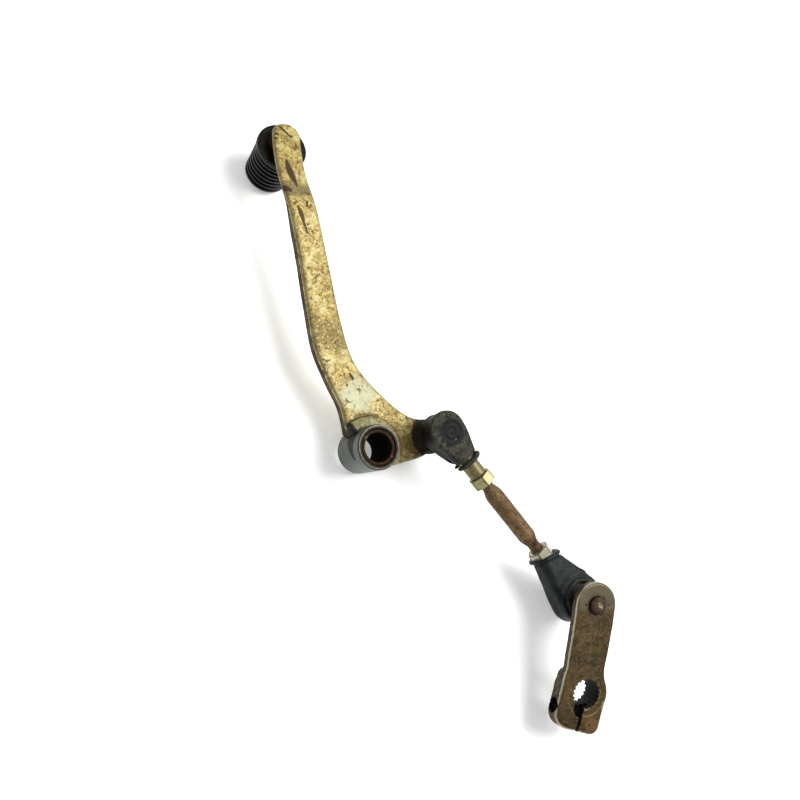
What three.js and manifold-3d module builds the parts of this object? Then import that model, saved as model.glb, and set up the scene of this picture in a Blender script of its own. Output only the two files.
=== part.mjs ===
// Motorcycle gear shift lever: a forged pedal lever welded to its pivot tube, a toe peg with a
// rubber sleeve, and an adjustable linkage rod with two ball joints to a splined shift arm.
//
// Frame: the origin is on the pivot axis at the tube's engine-side end. +Z runs along the pivot
// axis towards the linkage side, +Y along the pedal lever and +X towards the linkage. Units: mm.

import * as THREE from 'three';
import { mergeVertices } from 'three/addons/utils/BufferGeometryUtils.js';
import Module from 'manifold-3d';

const wasm = await Module();
wasm.setup();

// ---------------------------------------------------------------- driving dimensions

// Clearances
const jointGap = 0.3;           // between fixed pieces that are shaped by their neighbour
const bushGap = 0.05;           // bush in the pivot tube
const seatGap = 0.08;           // ball in its seat, and the seat in its housing
const bootGap = 0.3;            // rubber boot over the housing and its shank
const threadGap = 0.1;          // a thread's outside to the tapped hole around it

// Pivot
const tubeRadius = 10;
const tubeWall = 1.9;
const tubeLength = 23;
const bushWall = 1.65;
const bushRecess = 0.6;         // how far the bush sits inside each end of the tube
const edgeChamfer = 0.6;

// Pedal lever
const leverBottom = 5;          // height of the lever's underside above the tube's end
const leverThickness = 7.5;
const leverBevel = 1.2;
const linkageEndRadius = 8.2;
const toeBendAt = 112;          // where the toe pad bends down, along Y
const toeBend = 12;             // degrees
const toePadThickness = 3.8;
const toeTaperLength = 14;      // the underside's slope into the pad
const weldLeg = 4.2;
const weldWidth = 5.0;
const lowerWeldLeg = 2.6;

// Toe peg
const pegAt = new THREE.Vector2(-38, 139);
const pegRadius = 5;
const pegLength = 25;
const pegWeldLeg = 2.2;
const rubberFlangeRadius = 11.8;
const rubberFlangeThickness = 3.6;
const rubberRibRadius = 11.2;
const rubberGrooveDepth = 1.4;
const rubberRibs = 7;
const rubberEndWall = 2.6;
const rubberEndRound = 2.2;

// Ball joints
const frontBallAt = new THREE.Vector2(32, 7.6);
const ballRadius = 4.5;
const ballAboveLever = 11.5;     // ball centre above the lever's top face
const neckRadius = 2.7;
const collarRadius = 4.2;
const collarHeight = 1.6;
const studHoleRadius = 3.4;
const rivetRadius = 4.6;
const rivetHeight = 2.8;
const seatWall = 1.2;           // around the ball's widest part
const seatEndTrim = 0.8;        // how much lower than the ball the seat is, at each end
const seatHold = 0.3;           // how much smaller than the ball the seat's mouth is
const seatRadius = ballRadius + seatWall;
const seatHalfHeight = ballRadius - seatEndTrim;
const seatMouthRadius = ballRadius - seatHold;
const housingWall = 1.6;
const housingRadius = seatRadius + housingWall;
const housingStudSide = ballRadius;   // from the ball's centre to the face that the stud leaves by
const capThickness = 0.9;
const capClearance = 0.4;       // from the ball to the cap's inner face
const housingCapSide = ballRadius + capClearance + capThickness;
const shankRadius = 4.1;
const shankEnd = 25;            // from the ball's centre to the shank's end face
const tapDepth = 12;

// Dust boots
const bootWall = 1;
const bootCapGap = 0.1;         // between the housing's capped face and the boot
const bootStudSide = housingStudSide + bootGap + bootWall;
const bootCapSide = housingCapSide + bootCapGap + bootWall;
const frontBootMouthAt = 17.4;  // from the ball's centre: this boot has slipped back
const rearBootMouthAt = 24.7;
const frontBootSlack = 0.4;     // between the boot and a skin that fits the housing closely
const rearBootSlack = 2.4;      // the rear boot has swollen and spread
const frontBootRadius = housingRadius + bootGap + bootWall + frontBootSlack;
const rearBootRadius = housingRadius + bootGap + bootWall + rearBootSlack;
const bootMouthBead = 0.8;
const bootStudHoleRadius = 5.9;
const bootLipHeight = 1.2;
const bootCapHeight = 0.8;
const bootNeckRound = 6;        // the length of the neck's round part, behind its mouth

// Tie rod and locknuts
const rodSpan = 101;            // from ball centre to ball centre
const rodAngle = -47.1;         // degrees from +X, about +Z
const rodRadius = 4.15;
const rodTaperLength = 7;
const rodTaperRadius = 2.9;
const threadRadius = 3;
const threadMinorRadius = 2.6;
const threadEngagement = 9;     // how far each threaded end reaches into its rod end
const nutAcrossFlats = 10;
const nutHeight = 5.4;
const nutBackOff = 0.05;        // between a jammed locknut and the shank that it bears on

// Shift arm
const armTiltX = 7.5;           // degrees, the arm's lean in its rear ball joint
const armTiltY = -5.8;
const armTurn = -5.4;           // degrees about the stud
const armReach = 39.8;          // from the stud to the splined bore
const armAboveBall = 19;        // the arm's top face above the ball's centre
const armThickness = 5;
const armEndRadius = 10;
const armWaistRight = 8.2;
const armWaistLeft = 11;
const armWaistAt = 15;          // from the bore's centre
const hubThickness = 12;
const earThickness = 8.5;
const bossRadius = 11.3;
const bossTurn = -10;           // degrees, the clamp's slit against the arm
const bossEarLeft = 13.1;
const bossFoot = 17.2;
const bossCorner = 4.2;
const splineRadius = 6;
const splineDepth = 0.7;
const splineTeeth = 20;
const slitWidth = 1.6;
const pinchBoltRadius = 3.4;
const pinchBoltDepth = 4.3;     // from the boss's top face to the bolt's axis
const pinchBoltAt = 8.5;        // from the bore's axis to the bolt's axis
const boltReliefRadius = 4.3;   // the break-out beside the slit, over the bolt
const boltReliefAt = new THREE.Vector2(-1.7, -6.4);

// Facets
const roundSegments = 28;
const smallSegments = 20;
const sphereSegments = [20, 12];
const curveSegments = 6;
const bevelSegments = 1;

// ---------------------------------------------------------------- derived sizes

const leverTop = leverBottom + leverThickness;
const toeRadians = THREE.MathUtils.degToRad(toeBend);
const ballHeight = leverTop + ballAboveLever;
const rodRadians = THREE.MathUtils.degToRad(rodAngle);
const frontBall = new THREE.Vector3(frontBallAt.x, frontBallAt.y, ballHeight);
const rodDirection = new THREE.Vector3(Math.cos(rodRadians), Math.sin(rodRadians), 0);
const rearBall = frontBall.clone().addScaledVector(rodDirection, rodSpan);
const nutEnd = shankEnd + nutBackOff + nutHeight;

// ---------------------------------------------------------------- solids

/** A closed geometry with merged vertices and its faces pointing out, as a solid. */
function toSolid(geometry) {
  const bare = geometry.clone();
  bare.deleteAttribute('normal');
  bare.deleteAttribute('uv');
  const merged = mergeVertices(bare, 1e-4);
  const points = merged.attributes.position.array;
  const corner = [new THREE.Vector3(), new THREE.Vector3(), new THREE.Vector3()];
  const kept = [];
  let volume = 0;
  for (let i = 0; i < merged.index.count; i += 3) {
    const [a, b, c] = [0, 1, 2].map((k) => merged.index.getX(i + k));
    if (a === b || b === c || c === a) continue;
    kept.push(a, b, c);
    [a, b, c].forEach((index, k) => corner[k].fromArray(points, 3 * index));
    volume += corner[0].dot(corner[1].cross(corner[2]));
  }
  if (volume < 0) kept.reverse();
  return new wasm.Manifold(new wasm.Mesh({
    numProp: 3,
    vertProperties: new Float32Array(points),
    triVerts: new Uint32Array(kept),
  }));
}

/** A solid's faces as a flat-shaded geometry. */
function toGeometry(solid) {
  const mesh = solid.getMesh();
  const geometry = new THREE.BufferGeometry();
  geometry.setAttribute('position', new THREE.BufferAttribute(mesh.vertProperties, 3));
  geometry.setIndex(new THREE.BufferAttribute(mesh.triVerts, 1));
  const flat = geometry.toNonIndexed();
  flat.computeVertexNormals();
  return flat;
}

/** A solid turned about Z from its [radius, height] points. */
function turned(points, segments = roundSegments) {
  const profile = points.map(([radius, height]) => new THREE.Vector2(radius, height));
  profile.push(profile[0].clone());
  return toSolid(new THREE.LatheGeometry(profile, segments).rotateX(Math.PI / 2));
}

/** A round bar about Z, from one height to another. */
function bar(radius, low, high, segments = roundSegments) {
  return turned([[0, low], [radius, low], [radius, high], [0, high]], segments);
}

/** A round bar about X, from one place to another. */
function barAlongX(radius, from, to, segments = roundSegments) {
  return bar(radius, from, to, segments).rotate([0, 90, 0]);
}

/** A box given by its lowest and highest corners. */
function block(low, high) {
  const size = high.map((value, i) => value - low[i]);
  const centre = high.map((value, i) => (value + low[i]) / 2);
  return toSolid(new THREE.BoxGeometry(...size).translate(...centre));
}

/** An outline extruded between two heights, with its top and bottom edges bevelled. */
function plate(shape, low, high, bevel = 0) {
  const geometry = new THREE.ExtrudeGeometry(shape, {
    depth: high - low - 2 * bevel,
    bevelEnabled: bevel > 0,
    bevelSize: bevel,
    bevelThickness: bevel,
    bevelOffset: -bevel,
    bevelSegments,
    curveSegments,
  });
  return toSolid(geometry.translate(0, 0, low + bevel));
}

/** A regular hexagonal bar about X, given across its flats, with a round hole. */
function hexAlongX(acrossFlats, from, to, holeRadius) {
  const outer = bar(acrossFlats / Math.sqrt(3), from, to, 6).rotate([0, 0, 30]);
  const crown = turned([
    [0, from],
    [acrossFlats / 2, from],
    [acrossFlats / 2 + 1.2, from + 0.7],
    [acrossFlats / 2 + 1.2, to - 0.7],
    [acrossFlats / 2, to],
    [0, to],
  ]);
  return outer.intersect(crown).subtract(bar(holeRadius, from - 1, to + 1, smallSegments)).rotate([0, 90, 0]);
}

// ---------------------------------------------------------------- meshes

const finishes = {
  zincYellow: { color: 0xc9b876, roughness: 0.5, metalness: 0.6 },
  rustySteel: { color: 0x7d7466, roughness: 0.6, metalness: 0.6 },
  weldSteel: { color: 0x4a453d, roughness: 0.7, metalness: 0.4 },
  bronze: { color: 0x7a5a3a, roughness: 0.6, metalness: 0.5 },
  pegSteel: { color: 0x8d8b84, roughness: 0.5, metalness: 0.7 },
  blackRubber: { color: 0x18181a, roughness: 0.5, metalness: 0 },
  bootRubber: { color: 0x3b3b3a, roughness: 0.75, metalness: 0 },
  rodEndSteel: { color: 0xa59a78, roughness: 0.5, metalness: 0.6 },
  studSteel: { color: 0x6a4038, roughness: 0.6, metalness: 0.5 },
  seatPlastic: { color: 0xe4e0d2, roughness: 0.5, metalness: 0 },
  brownRust: { color: 0x7c5a3a, roughness: 0.8, metalness: 0.2 },
  zincSilver: { color: 0xc9c7bd, roughness: 0.4, metalness: 0.7 },
  armSteel: { color: 0x84714c, roughness: 0.7, metalness: 0.4 },
};

function piece(name, solid, finish) {
  const mesh = new THREE.Mesh(toGeometry(solid), new THREE.MeshStandardMaterial(finishes[finish]));
  mesh.name = name;
  return mesh;
}

// ---------------------------------------------------------------- pedal lever

/** The lever's plan: a toe pad, a cranked pedal and a short linkage arm past the pivot. */
function leverOutline() {
  const shape = new THREE.Shape();
  const points = (list) => list.map(([x, y]) => new THREE.Vector2(x, y));
  const { x, y } = frontBallAt;
  shape.moveTo(9, -7.6);
  shape.splineThru(points([[16.5, -5.6], [26, -2.6], [x - 1.6, y - linkageEndRadius + 0.15]]));
  shape.absarc(x, y, linkageEndRadius, -1.75, 1.4, false);
  shape.splineThru(points([
    [21.4, 15.7], [8, 24], [-6.1, 38.2], [-12.9, 56], [-18.8, 81], [-24.7, 106], [-29.4, 121],
    [-31.1, 135],
  ]));
  shape.absarc(-37.9, toeBendAt + 29.4, 6.6, 0.1, Math.PI - 0.15, false);
  shape.splineThru(points([
    [-44.4, 134], [-42.8, 120.5], [-38.2, 105], [-34, 86], [-30, 63.5], [-25.8, 43.5], [-19, 28.5],
    [-13.4, 18], [-10.4, 7],
  ]));
  shape.lineTo(-4, 0);
  shape.closePath();
  return shape;
}

/** The forged bar, flattened and bent down past the bend line to make the toe pad. */
function leverArm() {
  const reach = 60;
  const across = (low, high) => block([-reach, low[0], low[1]], [reach, high[0], high[1]]);
  const flat = plate(leverOutline(), leverTop - toePadThickness, leverTop, leverBevel);
  const pad = flat.intersect(across([toeBendAt, 0], [toeBendAt + reach, tubeLength]))
    .translate([0, -toeBendAt, -leverTop])
    .rotate([-toeBend, 0, 0])
    .translate([0, toeBendAt, leverTop]);
  const wedge = new THREE.Shape();
  wedge.moveTo(toeBendAt - toeTaperLength, leverBottom);
  wedge.lineTo(toeBendAt, leverTop - toePadThickness + 0.2);
  wedge.lineTo(toeBendAt, leverBottom - 1);
  wedge.lineTo(toeBendAt - toeTaperLength, leverBottom - 1);
  wedge.closePath();
  const underside = toSolid(
    new THREE.ExtrudeGeometry(wedge, { depth: 2 * reach, bevelEnabled: false })
      .rotateX(Math.PI / 2).rotateZ(Math.PI / 2).translate(-reach, 0, 0),
  );
  return plate(leverOutline(), leverBottom, leverTop, leverBevel)
    .intersect(across([-reach, 0], [toeBendAt + 0.4, tubeLength]))
    .subtract(underside)
    .add(pad)
    .subtract(bar(tubeRadius + jointGap, -1, tubeLength + 1))
    .subtract(bar(studHoleRadius, 0, ballHeight, smallSegments).translate([...frontBallAt, 0]));
}

function pivotTube() {
  const inner = tubeRadius - tubeWall;
  return turned([
    [inner, 0],
    [tubeRadius - edgeChamfer, 0],
    [tubeRadius, edgeChamfer],
    [tubeRadius, tubeLength - edgeChamfer],
    [tubeRadius - edgeChamfer, tubeLength],
    [inner, tubeLength],
  ]);
}

function pivotBush() {
  const outer = tubeRadius - tubeWall - bushGap;
  const inner = outer - bushWall;
  const low = bushRecess;
  const high = tubeLength - bushRecess;
  return turned([
    [inner, low + edgeChamfer],
    [inner + edgeChamfer, low],
    [outer, low],
    [outer, high],
    [inner + edgeChamfer, high],
    [inner, high - edgeChamfer],
  ]);
}

/** A fillet weld round the tube, kept to where the lever's plan backs it. */
function pivotWeld(face, leg, width) {
  const inner = tubeRadius + jointGap;
  const ring = turned([[inner, face], [inner + width, face], [inner, face + leg]]);
  const reach = Math.abs(leg) + 1;
  return ring.intersect(plate(leverOutline(), face - reach, face + reach));
}

// ---------------------------------------------------------------- toe peg

// Made about the peg's centre on the pad's underside, with the peg along -Z.

function toePeg() {
  return turned([
    [0, -pegLength],
    [pegRadius - edgeChamfer, -pegLength],
    [pegRadius, -pegLength + edgeChamfer],
    [pegRadius, -jointGap],
    [0, -jointGap],
  ]);
}

function toePegWeld() {
  const inner = pegRadius + jointGap;
  return turned([
    [inner, -jointGap],
    [inner, -jointGap - pegWeldLeg],
    [inner + pegWeldLeg, -jointGap],
  ]);
}

/** The rubber sleeve: a flange, a ribbed grip and a rounded closed end. */
function toeRubber() {
  const top = -pegWeldLeg - 2 * jointGap;
  const boreEnd = -pegLength - jointGap;
  const end = boreEnd - rubberEndWall;
  const bore = pegRadius + jointGap;
  const groove = rubberRibRadius - rubberGrooveDepth;
  const ribsTop = top - rubberFlangeThickness;
  const pitch = (ribsTop - end - rubberEndRound) / rubberRibs;
  const outline = [
    [bore, top],
    [rubberFlangeRadius - 0.8, top],
    [rubberFlangeRadius, top - 0.8],
    [rubberFlangeRadius, ribsTop + 0.6],
    [groove, ribsTop],
  ];
  for (let rib = 0; rib < rubberRibs; rib += 1) {
    const start = ribsTop - rib * pitch;
    outline.push([groove, start - 0.3 * pitch]);
    outline.push([rubberRibRadius, start - 0.5 * pitch]);
    outline.push([rubberRibRadius, start - 0.85 * pitch]);
    outline.push([groove, start - pitch]);
  }
  outline.push([rubberRibRadius - 1.6, end + 0.6], [rubberRibRadius - 3, end], [0, end]);
  outline.push([0, boreEnd], [bore, boreEnd]);
  return turned(outline);
}

// ---------------------------------------------------------------- ball joints
// Each joint is made about its ball's centre, with its stud along +Z and its shank along +X.

/** A ball with its neck, collar, shank and riveted head; the member's faces are measured along Z. */
function ballStud(memberNear, memberFar) {
  const ball = toSolid(new THREE.SphereGeometry(ballRadius, ...sphereSegments));
  const stem = turned([
    [0, 0],
    [neckRadius, 0],
    [neckRadius, memberNear - collarHeight],
    [collarRadius, memberNear - collarHeight],
    [collarRadius, memberNear - jointGap],
    [neckRadius, memberNear - jointGap],
    [neckRadius, memberFar + jointGap],
    [rivetRadius, memberFar + jointGap],
    [rivetRadius, memberFar + 0.4 * rivetHeight],
    [0.6 * rivetRadius, memberFar + rivetHeight],
    [0, memberFar + rivetHeight],
  ], smallSegments);
  return ball.add(stem);
}

function ballSeat() {
  const inside = toSolid(new THREE.SphereGeometry(ballRadius + seatGap, ...sphereSegments));
  return turned([
    [2, -seatHalfHeight],
    [seatRadius, -seatHalfHeight],
    [seatRadius, seatHalfHeight],
    [seatMouthRadius, seatHalfHeight],
    [2, seatHalfHeight - 1],
  ]).subtract(inside).subtract(bar(seatMouthRadius, 0, seatHalfHeight + 1));
}

/** The housing: an eye round the seat, closed by a staked disc, and a tapped shank. */
function rodEndHousing() {
  const eye = turned([
    [0, -housingCapSide],
    [housingRadius - edgeChamfer, -housingCapSide],
    [housingRadius, -housingCapSide + edgeChamfer],
    [housingRadius, housingStudSide - edgeChamfer],
    [housingRadius - edgeChamfer, housingStudSide],
    [0, housingStudSide],
  ]);
  const shank = barAlongX(shankRadius, 0, shankEnd);
  const pocket = bar(seatRadius + seatGap, -housingCapSide - 1, seatHalfHeight + seatGap);
  const mouth = bar(seatMouthRadius + 0.3, 0, housingStudSide + 1);
  const tap = barAlongX(threadRadius + threadGap, shankEnd - tapDepth, shankEnd + 1, smallSegments);
  return eye.add(shank).subtract(pocket).subtract(mouth).subtract(tap);
}

function seatCap() {
  const face = -ballRadius - 2 * seatGap;
  return bar(seatRadius - seatGap, face - capThickness, face);
}

/** The rubber boot: a skin over the eye, a stud lip, a closed cap and a beaded mouth. */
function dustBoot(roundRadius, mouthAt) {
  const mouthRadius = shankRadius + bootGap + bootWall;
  const lipRadius = bootStudHoleRadius + bootWall;
  const skin = turned([
    [0, -bootCapSide],
    [roundRadius - 1.2, -bootCapSide],
    [roundRadius - 0.2, -bootCapSide + bootCapHeight],
    [roundRadius - 0.8, -bootCapSide + bootCapHeight + 1.8],
    [roundRadius, bootStudSide - 3],
    [roundRadius - 1.8, bootStudSide],
    [lipRadius, bootStudSide],
    [lipRadius, bootStudSide + bootLipHeight],
    [0, bootStudSide + bootLipHeight],
  ]);
  const neck = turned([
    [0, 0],
    [roundRadius - 0.6, 0],
    [roundRadius - 0.8, 5],
    [0.5 * (roundRadius + mouthRadius), 0.62 * mouthAt],
    [mouthRadius - 0.2, mouthAt - bootMouthBead],
    [mouthRadius + bootMouthBead, mouthAt - bootMouthBead],
    [mouthRadius + bootMouthBead, mouthAt],
    [0, mouthAt],
  ]).rotate([0, 90, 0]);
  const flats = block([0, -roundRadius, 1 - bootStudSide], [mouthAt, roundRadius, bootStudSide - 0.4])
    .add(block([mouthAt - bootNeckRound, -roundRadius, -roundRadius], [mouthAt, roundRadius, roundRadius]));
  const eyeSpace = bar(housingRadius + bootGap, -housingCapSide - bootCapGap, housingStudSide + bootGap);
  const shankSpace = barAlongX(shankRadius + bootGap, 0, mouthAt + 1);
  const studSpace = bar(bootStudHoleRadius, 0, bootStudSide + bootLipHeight + 1);
  return skin.add(neck.intersect(flats)).subtract(eyeSpace).subtract(shankSpace).subtract(studSpace);
}

// ---------------------------------------------------------------- tie rod
// Made along +X from the front ball's centre.

function tieRod() {
  const start = shankEnd - threadEngagement;
  const taperStart = nutEnd + 1.6;
  const half = [
    [0, start],
    [threadMinorRadius, start],
    [threadRadius, start + 0.6],
    [threadRadius, taperStart],
    [rodTaperRadius, taperStart],
    [rodRadius, taperStart + rodTaperLength],
  ];
  const otherHalf = half.map(([radius, along]) => [radius, rodSpan - along]).reverse();
  return turned([...half, ...otherHalf], smallSegments).rotate([0, 90, 0]);
}

function locknut() {
  return hexAlongX(nutAcrossFlats, shankEnd + nutBackOff, nutEnd, threadRadius + threadGap);
}

// ---------------------------------------------------------------- shift arm
// Made about the splined bore, with the stud along +Y and the top face at z = 0.

function armOutline() {
  const shape = new THREE.Shape();
  shape.moveTo(armWaistRight, 0);
  shape.lineTo(armWaistRight, armWaistAt - 3);
  shape.splineThru([
    new THREE.Vector2(armWaistRight + 0.5, armWaistAt + 2),
    new THREE.Vector2(armEndRadius - 0.2, armReach - 9),
  ]);
  shape.absarc(0, armReach, armEndRadius, 0, Math.PI, false);
  shape.splineThru([
    new THREE.Vector2(-armEndRadius - 0.2, armReach - 9),
    new THREE.Vector2(-armWaistLeft, armWaistAt),
  ]);
  shape.lineTo(-armWaistLeft - 0.5, 0);
  shape.closePath();
  return shape;
}

function earOutline() {
  const shape = new THREE.Shape();
  const left = -bossEarLeft;
  const foot = -bossFoot;
  shape.moveTo(bossRadius, 0);
  shape.absarc(0, 0, bossRadius, 0, 0.62 * Math.PI, false);
  shape.quadraticCurveTo(left + 0.3, 9.5, left, 5);
  shape.lineTo(left, foot + 1.8 * bossCorner);
  shape.quadraticCurveTo(left + 0.5, foot + 0.6, left + 2 * bossCorner, foot);
  shape.lineTo(bossRadius - bossCorner, foot);
  shape.absarc(bossRadius - bossCorner, foot + bossCorner, bossCorner, 1.5 * Math.PI, 2 * Math.PI,
    false);
  shape.closePath();
  return shape;
}

/** The splined bore as a solid to take away, with one trapezium for each groove. */
function splineBore(low, high) {
  const shape = new THREE.Shape();
  const step = (2 * Math.PI) / splineTeeth;
  for (let tooth = 0; tooth < splineTeeth; tooth += 1) {
    const corners = [
      [splineRadius, 0], [splineRadius, 0.3], [splineRadius + splineDepth, 0.5],
      [splineRadius + splineDepth, 0.8],
    ];
    corners.forEach(([radius, share]) => {
      const angle = (tooth + share) * step;
      const point = [radius * Math.cos(angle), radius * Math.sin(angle)];
      if (tooth === 0 && share === 0) shape.moveTo(...point);
      else shape.lineTo(...point);
    });
  }
  shape.closePath();
  return plate(shape, low, high);
}

function shiftArm() {
  const past = 1;
  const hub = turned([
    [0, -hubThickness],
    [bossRadius - 1.4, -hubThickness],
    [bossRadius - 0.6, -hubThickness + 0.8],
    [bossRadius - 0.6, -1],
    [0, -1],
  ]);
  const slit = block(
    [-slitWidth / 2, -bossFoot - past, -hubThickness - past],
    [slitWidth / 2, 0, past],
  );
  const pinchHole = barAlongX(pinchBoltRadius, -bossEarLeft - past, bossRadius + past, smallSegments)
    .translate([0, -pinchBoltAt, -pinchBoltDepth]);
  const relief = bar(boltReliefRadius, -pinchBoltDepth, past, smallSegments)
    .translate([...boltReliefAt, 0])
    .intersect(block([-bossEarLeft, -bossFoot, -hubThickness], [0, 0, past]));
  const ears = plate(earOutline(), -earThickness, 0, 1);
  const clamp = ears.add(hub)
    .subtract(slit)
    .subtract(pinchHole)
    .subtract(relief)
    .rotate([0, 0, bossTurn]);
  const cuts = slit.add(relief).add(splineBore(-hubThickness - past, past)).rotate([0, 0, bossTurn]);
  const stud = bar(studHoleRadius, -armThickness - past, past, smallSegments)
    .translate([0, armReach, 0]);
  return plate(armOutline(), -armThickness, 0, 0.8).add(clamp).subtract(cuts).subtract(stud);
}

// ---------------------------------------------------------------- assembly

/** A group about the front ball, its X along the rod; upside down, its stud points at -Z. */
function alongRod(at, turnedBack, studDown) {
  const group = new THREE.Group();
  group.position.copy(at);
  group.rotation.order = 'ZXY';
  group.rotation.z = rodRadians + (turnedBack ? Math.PI : 0);
  group.rotation.x = studDown ? Math.PI : 0;
  return group;
}

const lever = new THREE.Group();
lever.add(
  piece('lever_arm', leverArm(), 'zincYellow'),
  piece('pivot_tube', pivotTube(), 'rustySteel'),
  piece('pivot_bush', pivotBush(), 'bronze'),
  piece('pivot_weld_upper', pivotWeld(leverTop, weldLeg, weldWidth), 'weldSteel'),
  piece('pivot_weld_lower', pivotWeld(leverBottom, -lowerWeldLeg, lowerWeldLeg), 'weldSteel'),
);

const peg = new THREE.Group();
peg.position.set(
  pegAt.x,
  pegAt.y,
  leverTop - (pegAt.y - toeBendAt) * Math.tan(toeRadians) - toePadThickness / Math.cos(toeRadians),
);
peg.rotation.x = -toeRadians;
peg.add(
  piece('toe_peg', toePeg(), 'pegSteel'),
  piece('toe_peg_weld', toePegWeld(), 'weldSteel'),
  piece('toe_rubber', toeRubber(), 'blackRubber'),
);

const frontJoint = alongRod(frontBall, false, true);
frontJoint.add(
  piece('front_ball_stud', ballStud(ballAboveLever, ballAboveLever + leverThickness), 'studSteel'),
  piece('front_ball_seat', ballSeat(), 'seatPlastic'),
  piece('front_rod_end', rodEndHousing(), 'rodEndSteel'),
  piece('front_seat_cap', seatCap(), 'rodEndSteel'),
  piece('front_boot', dustBoot(frontBootRadius, frontBootMouthAt), 'bootRubber'),
  piece('front_locknut', locknut(), 'zincYellow'),
);

const rod = alongRod(frontBall, false, false);
rod.add(piece('tie_rod', tieRod(), 'brownRust'));

const rearJoint = alongRod(rearBall, true, false);
rearJoint.add(
  piece('rear_ball_seat', ballSeat(), 'seatPlastic'),
  piece('rear_rod_end', rodEndHousing(), 'rodEndSteel'),
  piece('rear_seat_cap', seatCap(), 'rodEndSteel'),
  piece('rear_boot', dustBoot(rearBootRadius, rearBootMouthAt), 'bootRubber'),
  piece('rear_locknut', locknut(), 'zincSilver'),
);

const leaning = new THREE.Group();
leaning.position.copy(rearBall);
leaning.rotation.order = 'YXZ';
leaning.rotation.set(
  THREE.MathUtils.degToRad(armTiltX),
  THREE.MathUtils.degToRad(armTiltY),
  THREE.MathUtils.degToRad(armTurn),
);
const armPiece = piece('shift_arm', shiftArm(), 'armSteel');
armPiece.position.set(0, -armReach, armAboveBall);
leaning.add(piece('rear_ball_stud', ballStud(armAboveBall - armThickness, armAboveBall), 'studSteel'));
leaning.add(armPiece);

const shiftLever = new THREE.Group();
shiftLever.add(lever, peg, frontJoint, rod, rearJoint, leaning);

export default shiftLever;
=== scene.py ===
"""Visual model of a worn motorcycle gear shift lever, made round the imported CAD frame.

The code works in millimetres in the CAD frame: +Z is the pivot axis, +Y the pedal and +X the
linkage. put() turns each finished shape into metres.
"""

import bpy
import numpy as np
from mathutils import Matrix


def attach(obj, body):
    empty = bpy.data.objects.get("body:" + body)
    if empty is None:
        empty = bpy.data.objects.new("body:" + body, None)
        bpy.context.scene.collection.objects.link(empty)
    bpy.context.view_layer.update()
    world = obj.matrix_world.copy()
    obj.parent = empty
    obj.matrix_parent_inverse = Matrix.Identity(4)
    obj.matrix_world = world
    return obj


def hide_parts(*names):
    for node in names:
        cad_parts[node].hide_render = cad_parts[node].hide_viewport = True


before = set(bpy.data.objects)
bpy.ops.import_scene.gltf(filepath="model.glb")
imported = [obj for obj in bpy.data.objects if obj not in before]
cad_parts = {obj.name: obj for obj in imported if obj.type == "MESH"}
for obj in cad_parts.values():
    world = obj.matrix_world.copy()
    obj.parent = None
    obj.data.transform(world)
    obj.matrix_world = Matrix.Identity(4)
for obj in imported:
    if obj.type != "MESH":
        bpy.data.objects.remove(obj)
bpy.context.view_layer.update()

MM = 0.001
scene = bpy.context.scene


def unit(vector):
    """The vector over its length."""
    return vector / np.linalg.norm(vector)

# ---------------- arithmetic


def turn(axis, degrees):
    """The rotation matrix about X, Y or Z: cosines on the diagonal, sines off it."""
    c, s = np.cos(np.radians(degrees)), np.sin(np.radians(degrees))
    i, j = {"x": (1, 2), "y": (2, 0), "z": (0, 1)}[axis]
    m = np.eye(3)
    m[i, i] = m[j, j] = c
    m[i, j], m[j, i] = -s, s
    return m


def ramp(x, low, high):
    """Smoothstep: t is (x - low) / (high - low) kept to 0..1, and the result is t t (3 - 2 t)."""
    t = np.clip((x - low) / (high - low), 0, 1)
    return t * t * (3 - 2 * t)


def hump(x, centre, width):
    """A bell curve: e to the minus ((x - centre) / width) squared."""
    return np.exp(-(((x - centre) / width) ** 2))


def noise(points, size, seed):
    """Random values from -1 to 1 on a lattice of that size, blended by smoothstep in x, y and z."""
    table = np.random.default_rng(seed).uniform(-1, 1, 4096)
    q = points / size + 512.0
    cell = np.floor(q).astype(np.int64)
    s = q - cell
    s = s * s * (3 - 2 * s)
    total = 0
    for corner in np.ndindex(2, 2, 2):
        key = ((cell + corner) * (73856093, 19349663, 83492791))
        value = table[(key[..., 0] ^ key[..., 1] ^ key[..., 2]) & 4095]
        weight = np.where(np.array(corner) == 1, s, 1 - s).prod(-1)
        total = total + value * weight
    return total


def rough(points, size, seed, octaves=3):
    """Sum of noise at size, size/2, size/4..., each octave half as strong as the one before."""
    return sum(noise(points, size / 2**k, seed + k) / 2**k for k in range(octaves))


def join(a, b, reach):
    """Smooth union of two distances: the lower of the two, less h h / (4 reach), with h the
    part of reach that |a - b| leaves."""
    h = np.maximum(reach - np.abs(a - b), 0)
    return np.minimum(a, b) - h * h / (4 * reach)


def cut(a, b, reach):
    """What is left of a once b is taken away: minus the smooth union of minus a and b."""
    return -join(-a, b, reach)


def slab(across, along, radius):
    """Distance to the meeting of two half spaces, with their edge rounded to radius: the
    length of (across + radius, along + radius) where both are positive, less radius."""
    a, b = across + radius, along + radius
    return np.minimum(np.maximum(a, b), 0) + np.hypot(np.maximum(a, 0), np.maximum(b, 0)) - radius


# ---------------- outlines


def through(points, steps=8):
    """Catmull-Rom curve: between b and c the slopes are (c - a) / 2 and (d - b) / 2."""
    p = np.array(points, float)
    p = np.vstack([p[:1], p, p[-1:]])
    t = np.linspace(0, 1, steps, endpoint=False)[None, :, None]
    a, b, c, d = (p[k : len(p) - 3 + k, None] for k in range(4))
    v, w = (c - a) / 2, (d - b) / 2
    curve = (2 * b - 2 * c + v + w) * t**3 + (3 * c - 3 * b - 2 * v - w) * t**2 + v * t + b
    return np.vstack([curve.reshape(-1, 2), p[-1:]])


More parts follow.
